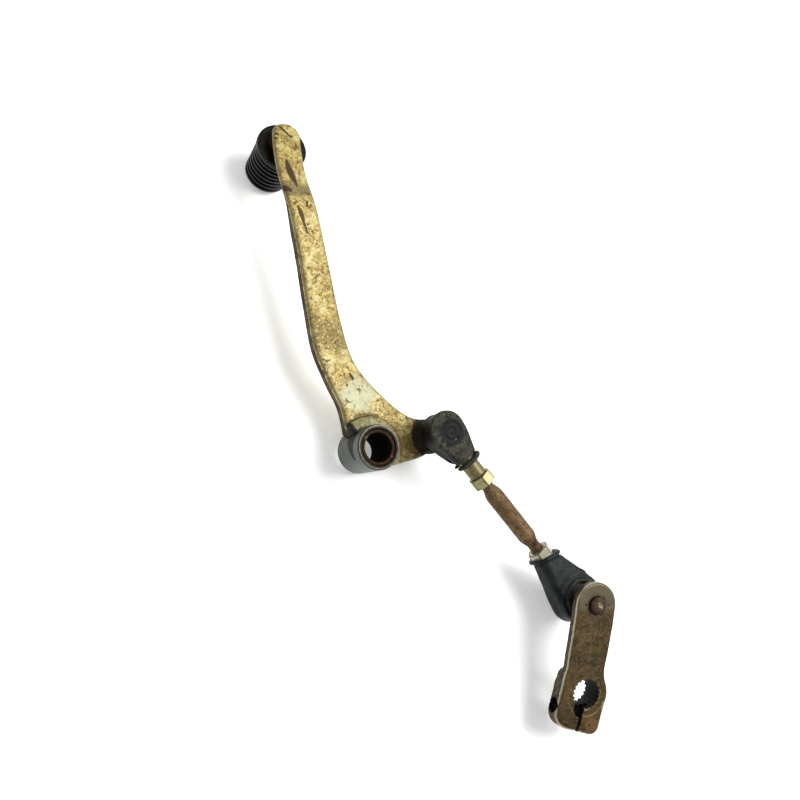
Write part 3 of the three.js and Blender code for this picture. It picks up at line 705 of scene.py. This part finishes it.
def ring_piece(profile, around, wobble, seed):
    """A tube with a bore: a closed profile turned about Z, with its radius varied by noise."""
    rings = lathe(spaced(profile, 0.5), around)
    rings[..., :2] *= 1 + wobble * rough(rings, 2.5, seed)[..., None] / 10
    return rings_to_faces(rings, looped=True)


def wall(inner, outer, low, high):
    """A tube wall's closed profile with rounded corners, without a repeated last point."""
    loop = np.array([(inner, low), (outer, low), (outer, high), (inner, high)], float)
    return rounded(np.vstack([loop[-1:], loop, loop[:1]]), 0.7)[1:-1]


points, faces = ring_piece(wall(TUBE_BORE_R, TUBE_R, 0, TUBE_LENGTH), 144, 0.03, 5)
radius, angle, height = polar(points)
blade = 1 - np.abs(height - (13.0 + 0.045 * (angle - 140))) / (5.2 - 0.062 * (angle - 140))
tube_marks = {
    "rim": np.maximum(ramp(height, TUBE_LENGTH - 1.2, TUBE_LENGTH - 0.3), ramp(radius, 9.2, 8.6)),
    "burnt": np.clip(4.0 * blade, 0, 1) * (angle > 128) * (angle < 214) * (radius > 9),
    # gleam: a painted highlight on the rim's face by its outer edge.
    "gleam": hump(radius, 9.5, 0.35) * (height > TUBE_LENGTH - 0.6),
}
put("pivot_sleeve", points, faces, "lever", "steel_grey", tube_steel, ["pivot_tube"], tube_marks)

low, high = BUSH_RECESS, TUBE_LENGTH - BUSH_RECESS
points, faces = ring_piece(wall(BUSH_BORE_R, BUSH_R, low, high), 120, 0.04, 9)
radius, _, height = polar(points)
# The bore's inside below its lip gets painted shade.
put("pivot_bearing", points, faces, "lever", "bush", bush_bronze, ["pivot_bush"],
    {"bore_shade": ramp(radius, 6.75, 6.5) * ramp(height, high - 0.2, high - 1.2)})


def bead(start, end, face, reach, rise, seed, way=1):
    """A weld bead swept round the tube from one angle to another, above the face, or below it
    where way is -1.
    Its section is a quarter of a superellipse between the tube and the plate, scaled by a
    square root near both ends, with faint ripples: the sine of 46 times the angle, plus noise."""
    count, inset = 260, -0.4
    angle = np.radians(np.linspace(start, end, count))[:, None]
    share = np.linspace(0, 1, count)[:, None]
    taper = np.sqrt(np.clip(np.minimum(share, 1 - share) / 0.05, 0.02, 1))
    t = np.linspace(0, np.pi / 2, 14)[None]
    out = np.sign(np.cos(t)) * np.abs(np.cos(t)) ** 0.8
    up = np.abs(np.sin(t)) ** 0.8
    wave = 1 + 0.012 * np.sin(46 * angle + 2.2 * out)
    out, up = out * reach * taper * wave, up * rise * taper * wave
    out = np.hstack([out, np.full((count, 2), inset)])
    up = np.hstack([up, up[:, -1:] * 0.6, np.full((count, 1), -0.25)])
    r = TUBE_R + out
    rings = np.stack([r * np.cos(angle), r * np.sin(angle), face + up * way], -1)
    rings[..., 2] += 0.22 * rough(rings, 2.0, seed) * way * (up > 0.1)
    rings[..., :2] *= 1 + 0.012 * (rough(rings, 3.0, seed + 5) * (out > 0.1))[..., None]
    return rings_to_faces(rings)


points, faces = bead(146, -24, TOP, 5.0, 3.4, 17)
radius, angle, _ = polar(points)
weld_marks = {
    "toe": np.maximum(ramp(radius, 13.9, 15.0), ramp(radius, 10.9, 10.1)),
    "burnt": ramp(angle, 126, 138) * (angle < 200),
}
put("pivot_weld_bead", points, faces, "lever", "weld", weld_zinc, ["pivot_weld_upper"],
    weld_marks, 70)
points, faces = bead(146, -42, BOTTOM, 2.8, 2.6, 18, way=-1)
put("pivot_weld_back", points, faces, "lever", "weld", dark_weld, ["pivot_weld_lower"])

# ---------------- toe rubber

PEG_X, PEG_Y, PEG_R = -38.0, 139.0, 5.3
PAD_DROP = (PEG_Y - 112) * BEND_SLOPE + 3.8 / np.cos(np.radians(BEND_ANGLE))
PEG_AT = np.array([PEG_X, PEG_Y, TOP - PAD_DROP])
PEG_AXES = turn("x", -BEND_ANGLE)
FLANGE_R, FLANGE_TOP, FLANGE_LOW = 11.8, -2.8, -6.0
RIB_R, RIBS, SLEEVE_END, END_WALL = 11.3, 7, -27.9, 2.6

pitch = (FLANGE_LOW - SLEEVE_END - 2.2) / RIBS
corners, radii = [(PEG_R, FLANGE_TOP), (FLANGE_R, FLANGE_TOP), (FLANGE_R, FLANGE_LOW)], [0.9, 0.8]
for rib in range(RIBS):
    start = FLANGE_LOW - rib * pitch
    crest = RIB_R - 0.12 * rib
    corners += [(crest - 1.7, start), (crest - 1.7, start - 0.34 * pitch),
                (crest, start - 0.44 * pitch), (crest, start - 0.92 * pitch)]
    radii += [0.35, 0.35, 0.45, 0.45]
corners += [(RIB_R - 2.6, SLEEVE_END + 1.2), (RIB_R - 4.6, SLEEVE_END), (0.05, SLEEVE_END)]
radii += [1.0, 1.6]
outer = rounded(corners, radii)
bore_end = SLEEVE_END + END_WALL
bore = np.array([(0.05, bore_end), (PEG_R, bore_end), (PEG_R, FLANGE_TOP)])
sleeve = np.vstack([spaced(outer, 0.45), spaced(bore, 1.5)[:-1]])
rings = lathe(sleeve, 144)
rings[..., :2] *= 1 + 0.004 * noise(rings, 9, 12)[..., None]
points, faces = rings_to_faces(rings, looped=True)
radius, _, height = polar(points)
sleeve_marks = {
    "dust": np.maximum(0.75 * ramp(height, FLANGE_LOW - 0.5, FLANGE_LOW + 1.0),
                       0.35 * ramp(radius, 9.0, 10.4)),
    # crest: where the painted sheen and dust go on the ribs.
    "crest": ramp(radius, RIB_R - 1.3, RIB_R - 0.3) * (height < FLANGE_LOW),
}
put("toe_sleeve", moved(points, PEG_AXES, PEG_AT), faces, "lever", "toe_rubber", sleeve_rubber,
    ["toe_rubber"], sleeve_marks)

# ---------------- ball joints

FRONT_AXES = turn("z", ROD_ANGLE) @ turn("x", 180)
REAR_AXES = turn("z", ROD_ANGLE + 180)
ARM_AXES = turn("y", -5.8) @ turn("x", 7.5) @ turn("z", -5.4)
REAR_AT = BALL_AT + SPAN * turn("z", ROD_ANGLE)[:, 0]
ENDS = (("front", FRONT_AXES, BALL_AT), ("rear", REAR_AXES, REAR_AT))
ARM_REACH, ARM_TOP, ARM_THICK = 39.8, 19.0, 5.0
SHANK_R, SHANK_END, TAP_R, TAP_FROM = 4.1, 25.0, 3.1, 13.0
EYE_R, STUD_SIDE, CAP_SIDE = 7.3, 4.5, 5.8
POCKET_R, POCKET_TOP, MOUTH_R = 5.78, 3.78, 4.5
RIM_R, COLLAR_R, GROOVE_R, GRIP_R = 0.95, 1.0, 0.45, 4.35


def rod_end_field(p):
    """The eye and the shank, two round bars smoothly joined, less the seat's pocket, the
    stud's mouth and the tapped hole."""
    x, y, z = np.moveaxis(p, -1, 0)
    across = np.hypot(x, y)
    middle, half = (CAP_SIDE - STUD_SIDE) / 2, (CAP_SIDE + STUD_SIDE) / 2
    eye = slab(across - EYE_R, np.abs(z + middle) - half, 0.8)
    shank = slab(np.hypot(y, z) - SHANK_R, np.abs(x - SHANK_END / 2) - SHANK_END / 2, 0.5)
    solid = join(eye, shank, 2.0)
    for hole in (np.maximum(across - POCKET_R, z - POCKET_TOP), np.maximum(across - MOUTH_R, -z),
                 np.maximum(np.hypot(y, z) - TAP_R, TAP_FROM - x)):
        solid = np.maximum(solid, -hole)
    return solid


points, faces = skin(rod_end_field, (-9, -9, -8), (26, 9, 6), 0.45)
greased = {"greased": ramp(points[:, 0], TAP_FROM, TAP_FROM - 2.5)}
for side, axes, at in ENDS:
    put(side + "_eye", moved(points, axes, at), faces, side + "_rod_end", "rod_end", rod_end_zinc,
        [side + "_rod_end"], greased)


def teardrop(x, y, radius, mouth, mouth_at):
    """Distance to a circle joined by its tangents to a smaller one at the mouth: past the
    tangent points it is |y| cos a + x sin a - radius, with sin a the drop in radius over the
    distance."""
    slope = (radius - mouth) / mouth_at
    flat = np.sqrt(1 - slope * slope)
    side = np.abs(y)
    return np.where(x * flat > side * slope, side * flat + x * slope, np.hypot(x, y)) - radius


def boot_field(form):
    """A boot's skin. Outside, a teardrop in plan, from the round eye to the mouth, with two
    faces that close in on the shank; its edges' rounding grows from the drum's to a full
    round at the mouth. Inside, the same shape one wall smaller is taken away, with the stud's
    hole. Rims of round section finish the mouth and the hole."""
    def outside(p, wall):
        x, y, z = np.moveaxis(p, -1, 0)
        t = ramp(x / form["mouth"], 0.15, 1.0)
        plan = teardrop(x - form["back"], y - form["aside"] * (1 - t), form["radius"],
                        form["mouth_wide"], form["mouth"] - form["back"])
        high = form["half"] + (form["mouth_high"] - form["half"]) * t
        middle = form["drop"] * (1 - t)
        edge = form["round"] + (0.86 * form["mouth_high"] - form["round"]) * t
        waist = (form["waist"] * np.cos(0.42 * (z + 1)) + form["taper"] * ramp(z, -5, 5)) * (1 - t)
        return slab(plan + wall + waist, np.abs(z + middle) - high + wall,
                    np.maximum(edge - wall, 0.3))

    def field(p):
        x, y, z = np.moveaxis(p, -1, 0)
        across = np.hypot(x, y)
        bare_and_highlight = outside(p, 0.0)
        lip = x - form["mouth"] - form["skew"] * y
        solid = np.maximum(bare_and_highlight + form["folds"](p), lip)
        rim = np.hypot(lip + 0.9, bare_and_highlight - 0.35) - RIM_R
        collar = np.hypot(across - form["eye"] - 1.1, z - form["lip_high"]) - COLLAR_R
        groove = np.hypot(lip + 2.5, bare_and_highlight) - GROOVE_R
        solid = cut(join(join(solid, rim, 0.4), collar, 1.4), groove, 0.6)
        hollow = np.minimum(outside(p, form["wall"]), np.maximum(np.hypot(y, z) - GRIP_R, -x))
        solid = cut(solid, hollow, 0.4)
        solid = cut(solid, np.maximum(across - form["eye"], -z), 0.5)
        return cut(solid, form["split"](p), 0.5)
    return field


def cap_rings(p):
    """Shallow moulded ridges on the closed cap: a cosine of the radius, only near the cap."""
    across = np.hypot(p[..., 0], p[..., 1])
    on_cap = ramp(p[..., 2], -5.4, -6.2) * ramp(across, 8.2, 7.4)
    return -0.16 * np.cos(2 * np.pi * across / 2.7) * on_cap


def front_folds(p):
    """The cap's ridges and shallow dents all over."""
    return cap_rings(p) + 0.12 * rough(p, 5.0, 33, 2)


def rear_folds(p):
    """Two soft bulges round the swollen shoulder, a cosine of the radius, and wide dents."""
    across = np.hypot(p[..., 0], p[..., 1])
    shoulder = ramp(p[..., 2], 1.0, 4.0) * ramp(across, 7.6, 8.4) * ramp(p[..., 0], 13, 5)
    return (0.22 * np.cos(2 * np.pi * (across - 0.3 * p[..., 2]) / 2.6) * shoulder
            + 0.30 * rough(p, 7.0, 43, 3))


def front_split(p):
    """A tear from the mouth into the neck's side: a wedge that widens with x."""
    open_by = 0.30 * (p[..., 0] - 8.5)
    return np.maximum(np.abs(p[..., 2] - 0.4 - 0.1 * p[..., 0]) - open_by, 2.0 - p[..., 1])


def no_split(p):
    """A boot that isn't torn: a distance that is always far outside."""
    return np.full(p.shape[:-1], 99.0)


front_form = dict(radius=8.9, back=-1.4, aside=0.8, eye=5.7, waist=0.3, taper=0.7, drop=0.6,
                  half=5.8, round=1.3, mouth=17.6, mouth_wide=5.1, mouth_high=5.0, skew=0.0,
                  wall=0.55, lip_high=5.2, folds=front_folds, split=front_split)
rear_form = dict(radius=11.6, back=-0.3, aside=-0.3, eye=7.1, waist=0.4, taper=0.0, drop=0.6,
                 half=6.4, round=3.2, mouth=26.2, mouth_wide=5.5, mouth_high=5.4, skew=0.30,
                 wall=0.8, lip_high=5.9, folds=rear_folds, split=no_split)


def front_shade(x, across, z, shade):
    """The front boot's dust, on its cap and neck, and the painted shade that darkens its sides."""
    dust = ramp(z, -4.6, -6.2) * 0.95 + 0.6 * ramp(x, 8, 12) * ramp(z, 1, -2)
    return dust, ramp(z, -5.6, -4.0) * ramp(x, 15, 10) * 0.8 + 0.15 * shade


def rear_shade(x, across, z, shade):
    """The rear boot's dust, on its raised side, and painted shade in its folds: a cosine of the
    radius.
    """
    dust = 0.55 * ramp(across, 11.5, 8.0) * ramp(z, 2, 6)
    fold_shade = 0.5 - 0.5 * np.cos(2 * np.pi * (across - 0.35 * z) / 2.1) + 0.2 * shade
    return dust, fold_shade * ramp(across, 7.5, 8.6) * ramp(x, 12, 5) * 0.6


for (side, axes, at), form, shading in zip(
        ENDS, (front_form, rear_form), (front_shade, rear_shade)):
    points, faces = skin(boot_field(form), (-12.5, -12.5, -10), (31, 12.5, 9), 0.42)
    across = np.hypot(points[:, 0], points[:, 1])
    dust, fold_shade = shading(points[:, 0], across, points[:, 2], rough(points, 4.0, 71))
    # Painted shade round the stud's hole as well.
    fold_shade = np.maximum(fold_shade, ramp(across, form["eye"] + 0.5, form["eye"]))
    clean = 1 - ramp(across, form["eye"] + 0.3, form["eye"] - 0.1)
    put(side + "_gaiter", moved(points, axes, at), faces, side + "_rod_end", "boot_rubber",
        boot_rubber, [side + "_boot"],
        {"dust": np.clip(dust * clean, 0, 1), "fold_shade": np.clip(fold_shade, 0, 1)}, 70)


def stud(near, far, seed):
    """A ball, a neck, a collar under the member and a peened head past it, turned about Z.
    The head is a dome whose top is dented by noise."""
    neck, collar, shank, head_r = 0.6 * BALL_R, 4.2, 3.35, 4.25
    t = np.linspace(-np.pi / 2, np.arccos(neck / BALL_R), 30)
    ball = np.stack([BALL_R * np.cos(t), BALL_R * np.sin(t)], -1)
    ball[0, 0] = 0.02
    stem = rounded([ball[-1], (neck, near - 2.6), (neck, near - 1.6), (collar, near - 1.6),
                    (collar, near - 0.02), (shank, near - 0.02), (shank, far + 0.02),
                    (head_r, far + 0.02)], 0.3)
    s = np.linspace(0, np.pi / 2, 26)[1:]
    head = np.stack([head_r * np.cos(s) ** 0.55 + 0.02, far + 0.5 + 2.3 * np.sin(s)], -1)
    rings = lathe(np.vstack([ball, stem, [(head_r + 0.03, far + 0.5)], head]), 72)
    dome = rings[..., 2] > far + 0.9
    rings[..., 2] += dome * (0.30 * rough(rings, 1.6, seed) - 0.15)
    points, faces = rings_to_faces(rings)
    radius, _, height = polar(points)
    # skirt: painted shade round the head's foot; peen: peened high spots and a painted highlight on
    # top.
    return points, faces, {
        "skirt_shade": (height > far - 0.5) * ramp(height, far + 1.9, far + 1.0),
        "peen_and_highlight": 0.8 * (height > far + 1.2) * ramp(radius, 3.6, 0.4)}


for side, near, far, seed, body, axes, at in (
        ("front", BALL_AT[2] - TOP, BALL_AT[2] - BOTTOM, 61, "lever", FRONT_AXES, BALL_AT),
        ("rear", ARM_TOP - ARM_THICK, ARM_TOP, 64, "shift_arm", ARM_AXES, REAR_AT)):
    points, faces, marks = stud(near, far, seed)
    put(side + "_stud", moved(points, axes, at), faces, body, "stud", stud_rust,
        [side + "_ball_stud"], marks)

# ---------------- rod and locknuts


def locknut():
    """A hexagonal nut along X. Its outside radius at each angle is half the flats' distance
    over the cosine of the angle from the nearest flat, kept under a cone at both faces."""
    half, start, end = 5.0, SHANK_END + 0.05, SHANK_END + 5.45
    bevel = np.linspace(0, 1.1, 8)
    along = np.concatenate([start + bevel, [(start + end) / 2], end - bevel[::-1]])
    angle = np.linspace(0, 2 * np.pi, 144, endpoint=False)
    off_flat = (angle + np.pi / 6) % (np.pi / 3) - np.pi / 6
    hexagon = np.minimum(half / np.cos(off_flat), 5.62)
    cone = 4.75 + 1.75 * np.minimum(along - start, end - along)
    outer = join(hexagon[None], cone[:, None], 0.12)
    bore = spaced(np.array([(end, 3.6), (end - 0.5, 3.1), (start + 0.5, 3.1), (start, 3.6)]), 0.3)
    radius = np.vstack([outer, bore[:, 1, None] + 0 * angle])
    station = np.concatenate([along, bore[:, 0]])[:, None] + 0 * angle
    rings = np.stack([station, radius * np.cos(angle), radius * np.sin(angle)], -1)
    points, faces = rings_to_faces(rings, looped=True)
    sharp = np.hypot(points[:, 1], points[:, 2])
    from_face = np.minimum(points[:, 0] - start, end - points[:, 0])
    edge = np.maximum(ramp(sharp, 5.35, 5.6), ramp(from_face, 0.7, 0.0))
    return points, faces, {"edge": edge * (sharp > 4)}


points, faces, marks = locknut()
spin = turn("x", 20)
for (side, axes, at), look, metal in zip(
        ENDS, ("zinc_yellow", "zinc_silver"), (nut_yellow, nut_silver)):
    put(side + "_nut", moved(points, axes @ spin, at), faces, side + "_rod_end", look, metal,
        [side + "_locknut"], marks, 28)


def rod_rings():
    """The tie rod along X: full radius between two tapers, each a smoothstep down to a neck,
    with a helical thread past it: a triangle wave of (x - pitch times the turn's angle)."""
    inner_end, bar_from, pitch, neck_r, full_r = 16.0, 32.0, 1.0, 2.75, 4.15
    fine = np.arange(inner_end, bar_from, 0.09)
    along = np.concatenate([fine, np.arange(bar_from, SPAN - bar_from, 0.45), SPAN - fine[::-1]])
    angle = np.linspace(0, 2 * np.pi, 72, endpoint=False)[None]
    x = along[:, None] + 0 * angle
    at_front = x < SPAN - x
    end = np.minimum(x, SPAN - x)
    neck = np.where(at_front, 31.6, 33.6)
    full = np.where(at_front, 37.4, 39.5)
    body = neck_r + (full_r - neck_r) * ramp(end, neck, full) ** 0.9
    hand = np.where(at_front, 1.0, -1.0)
    phase = (x / pitch + hand * angle / (2 * np.pi)) % 1.0
    thread = 2.62 + 0.36 * (1 - np.abs(2 * phase - 1))
    thread = np.minimum(thread, 2.2 + 0.8 * (end - inner_end))
    radius = body + (thread - body) * ramp(end, neck - 0.1, neck - 0.5)
    rings = np.stack([x, radius * np.cos(angle), radius * np.sin(angle)], -1)
    worn = 0.05 * rough(rings, 3.5, 81) * ramp(end, neck, neck + 1)
    rings[..., 1:] *= (1 + worn / 4)[..., None]
    return rings


points, faces = rings_to_faces(rod_rings())
facing = np.degrees(np.arctan2(points[:, 2], points[:, 1]))
end = np.minimum(points[:, 0], SPAN - points[:, 0])
rear_taper = 0.5 * ramp(end, 41, 37) * ramp(SPAN - points[:, 0], 45, 40)
rod_marks = {"run": np.clip(1 - np.abs(facing + 150) / 34, 0, 1) + rear_taper,
             "thread": ramp(end, 34.0, 31.5)}
put("tie_bar", moved(points, turn("z", ROD_ANGLE), BALL_AT), faces, "tie_rod", "rust", rod_rust,
    ["tie_rod"], rod_marks, 40)

# ---------------- shift arm

arm_plan = Plan(np.vstack([
    [(8.2, 0), (8.2, 12)], through([(8.2, 12), (8.7, 17), (9.8, 30.8)])[1:],
    arc((0, ARM_REACH), 10, 0, np.pi),
    through([(-10, ARM_REACH), (-10.2, 30.8), (-11, 15)])[1:], [(-11.5, 0)],
]))


def bow(start, pull, end):
    """A quadratic curve from start to end, drawn toward pull: (1-t)^2 a + 2 t (1-t) b + t^2 c."""
    t = np.linspace(0, 1, 12)[:, None]
    a, b, c = (np.array(point, float) for point in (start, pull, end))
    return (1 - t) ** 2 * a + 2 * t * (1 - t) * b + t * t * c


BOSS_R, EAR_LEFT, EAR_FOOT, EAR_CORNER = 11.3, -13.1, -17.2, 4.2
ear_plan = Plan(np.vstack([
    arc((0, 0), BOSS_R, 0, 0.62 * np.pi), bow((-4.2, 10.5), (-12.8, 9.5), (EAR_LEFT, 5)),
    bow((EAR_LEFT, -9.64), (-12.6, -16.6), (-4.7, EAR_FOOT)), [(7.1, EAR_FOOT)],
    arc((7.1, EAR_FOOT + EAR_CORNER), EAR_CORNER, 1.5 * np.pi, 2 * np.pi),
]))
CLAMP_TURN = turn("z", -10)
SPLINE_TEETH, SPLINE_R = 20, 6.35
BOLT_ACROSS, BOLT_DEPTH, BOLT_R = 8.5, 4.3, 3.4
RELIEF_AT, RELIEF_R = (-0.9, -6.9), 3.7
EAR_DEPTH, HUB_R, HUB_MIDDLE, HUB_HALF = 8.5, 10.7, 6.5, 5.5


def arm_field(p):
    """The bar, the clamp's ears and its hub, three rounded plates smoothly joined; the ears
    and cuts are turned 10 degrees. Taken away: the splined bore, whose radius is a flattened
    cosine of 20 times the angle, the slit, the bolt hole, the break-out, a spotface and the
    stud's hole."""
    q = p @ CLAMP_TURN
    z = p[..., 2]
    bar = slab(arm_plan(p[..., 0], p[..., 1]), np.abs(z + ARM_THICK / 2) - ARM_THICK / 2, 1.1)
    ears = slab(ear_plan(q[..., 0], q[..., 1]), np.abs(z + EAR_DEPTH / 2) - EAR_DEPTH / 2, 2.3)
    across = np.hypot(q[..., 0], q[..., 1])
    hub = slab(across - HUB_R, np.abs(z + HUB_MIDDLE) - HUB_HALF, 1.2)
    solid = join(join(bar, ears, 2.0), hub, 1.2) + 0.06 * rough(p, 4.0, 51, 2)
    solid = np.maximum(solid, z + 0.16 * ramp(across, 9.9, 9.6))
    angle = np.arctan2(q[..., 1], q[..., 0])
    teeth = np.clip(1.8 * np.cos(SPLINE_TEETH * angle), -1, 1)
    bore = across - (SPLINE_R + 0.32 * teeth)
    slit = np.maximum(np.abs(q[..., 0]) - 0.8, q[..., 1])
    bolt = np.hypot(q[..., 1] + BOLT_ACROSS, z + BOLT_DEPTH) - BOLT_R
    broken = np.hypot(q[..., 0] - RELIEF_AT[0], q[..., 1] - RELIEF_AT[1]) - RELIEF_R
    relief = np.maximum.reduce([broken, -BOLT_DEPTH - z, q[..., 0]])
    for hole, blend in ((bore, 0.15), (slit, 0.25), (bolt, 0.3), (relief, 0.3)):
        solid = cut(solid, hole, blend)
    stud_hole = np.hypot(p[..., 0], p[..., 1] - ARM_REACH) - 3.4
    return cut(solid, np.maximum(stud_hole, 0), 0.2)


points, faces = skin(arm_field, (-16, -21, -14), (15, 52, 1.5), 0.42)
q = points @ CLAMP_TURN
stud_r = np.hypot(points[:, 0], points[:, 1] - ARM_REACH)
relief_r = np.hypot(q[:, 0] - RELIEF_AT[0], q[:, 1] - RELIEF_AT[1])
bolt_r = np.hypot(q[:, 1] + BOLT_ACROSS, -points[:, 2] - BOLT_DEPTH)
depth, bore_r = -points[:, 2], np.hypot(q[:, 0], q[:, 1])
rim = np.minimum(arm_plan(points[:, 0], points[:, 1]), ear_plan(q[:, 0], q[:, 1]))
left = ramp(points[:, 0], 4, -4)
edge = hump(depth, 0.9, 0.9) * ramp(-rim, 1.6, 0.5)
arm_marks = {
    "wall": ramp(depth, 1.2, 2.0) * ramp(-rim, 1.0, 0.3),
    # Worn bright edges and streaks; the extra on the left edges is a painted highlight.
    "bare_and_highlight": np.clip(edge * (0.35 + 0.5 * left)
                    + 0.85 * streak(q, [(9.8, -2), (10.6, -9)], [2.4, 1.2])
                    + 0.6 * streak(q, [(-8.4, 0.5), (-8.2, -4)], [1.0, 0.6])
                    + 0.6 * hump(bore_r, 7.0, 0.4) * (depth < 0.6), 0, 1),
    "grey": ramp(points[:, 1], 30, 44) * 0.9,
    "tan": 0.8 * ramp(q[:, 0], 0, 6) * ramp(q[:, 1], -4, -12),
    "ring": hump(bore_r, 9.7, 0.5) * (depth < 1),
    # dark: painted shade down the bore, slit, bolt hole and break-out, and round the rivet's foot.
    "dark": np.maximum.reduce([
        ramp(bore_r, 7.2, 6.9) * ramp(depth, 0.4, 1.2),
        (np.abs(q[:, 0]) < 1.1) * ramp(depth, 0.3, 1.0) * (q[:, 1] < -5),
        ramp(bolt_r, 3.9, 3.5) * ramp(np.abs(q[:, 0]), 12.9, 12.2),
        ramp(relief_r, 3.8, 3.5) * ramp(depth, 0.4, 1.2) * (q[:, 0] < 0.5),
        0.55 * hump(stud_r, 5.0, 0.6) * (depth < 1),
    ]),
}
points = points + [0, -ARM_REACH, ARM_TOP]
put("clamp_arm", moved(points, ARM_AXES, REAR_AT), faces, "shift_arm", "arm_steel", arm_steel,
    ["shift_arm"], arm_marks, 60)

# ---------------- carried-over nodes

for name, material in (("toe_peg", plain_steel), ("toe_peg_weld", dark_weld),
                       ("front_ball_seat", nylon), ("rear_ball_seat", nylon),
                       ("front_seat_cap", plain_steel), ("rear_seat_cap", plain_steel)):
    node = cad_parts[name]
    node.data.materials.clear()
    node.data.materials.append(material)

# ---------------- studio


def stand(made, axes, at):
    """Puts an object in the scene at a place in metres, its own axes given as columns."""
    matrix = np.eye(4)
    matrix[:3, :3] = axes
    matrix[:3, 3] = at
    made.matrix_world = Matrix(matrix.tolist())
    scene.collection.objects.link(made)


camera = bpy.data.objects.new("camera", bpy.data.cameras.new("camera"))
camera.data.sensor_width = 36.0
camera.data.lens = 42.75
RIGHT, UP, BACK = (0.8942, -0.0045, 0.4477), (-0.0622, 0.989, 0.1341), (-0.4433, -0.1478, 0.8841)
CAMERA_AT = np.array([-175.19, -40.50, 392.49])
u, _, v = np.linalg.svd(np.array([RIGHT, UP, BACK]))
stand(camera, (u @ v).T, CAMERA_AT * MM)
scene.camera = camera

FLOOR_UP = unit(np.array([-0.033, 0.137, 1.0]))
lowest = min(
    float((np.array([v.co[:] for v in o.data.vertices]) @ FLOOR_UP).min())
    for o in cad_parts.values())
side = unit(np.cross(FLOOR_UP, [0, 1, 0]))
ahead = np.cross(FLOOR_UP, side)
centre = FLOOR_UP * (lowest - 0.0002)
reach = 6.0
floor_mesh = bpy.data.meshes.new("floor")
floor_mesh.from_pydata([
    (centre + reach * (a * side + b * ahead)).tolist()
    for a, b in ((-1, -1), (1, -1), (1, 1), (-1, 1))], [], [(0, 3, 2, 1)])
floor = bpy.data.objects.new("floor", floor_mesh)
scene.collection.objects.link(floor)
card = finish("white_card", "#FDFDFC", 0.9, 0.0, specular=0.1)
glow = card.node_tree.nodes["Principled BSDF"].inputs
glow["Emission Color"].default_value = colour("#FFFFFF")
glow["Emission Strength"].default_value = 0.22
floor_mesh.materials.append(card)


def lamp(name, at, size, power):
    """A square area light at a place in mm, facing the middle of the object."""
    light = bpy.data.lights.new(name, "AREA")
    light.shape, light.size, light.energy = "SQUARE", size * MM, power
    made = bpy.data.objects.new(name, light)
    at = np.array(at, float) * MM
    away = unit(at - np.array([30, 0, 10]) * MM)
    across = unit(np.cross([0.1, 1, 0.05], away))
    stand(made, np.stack([across, np.cross(away, across), away], -1), at)


lamp("overhead", (430, 230, 820), 620, 8.6)
lamp("fill", (-650, 250, 600), 900, 1.2)

scene.view_settings.view_transform = "Standard"
scene.view_settings.look = "Medium High Contrast"
world = bpy.data.worlds.new("studio")
scene.world = world
world.use_nodes = True
sky = world.node_tree.nodes["Background"].inputs
sky["Color"].default_value = colour("#F6F8FA")
sky["Strength"].default_value = 0.38
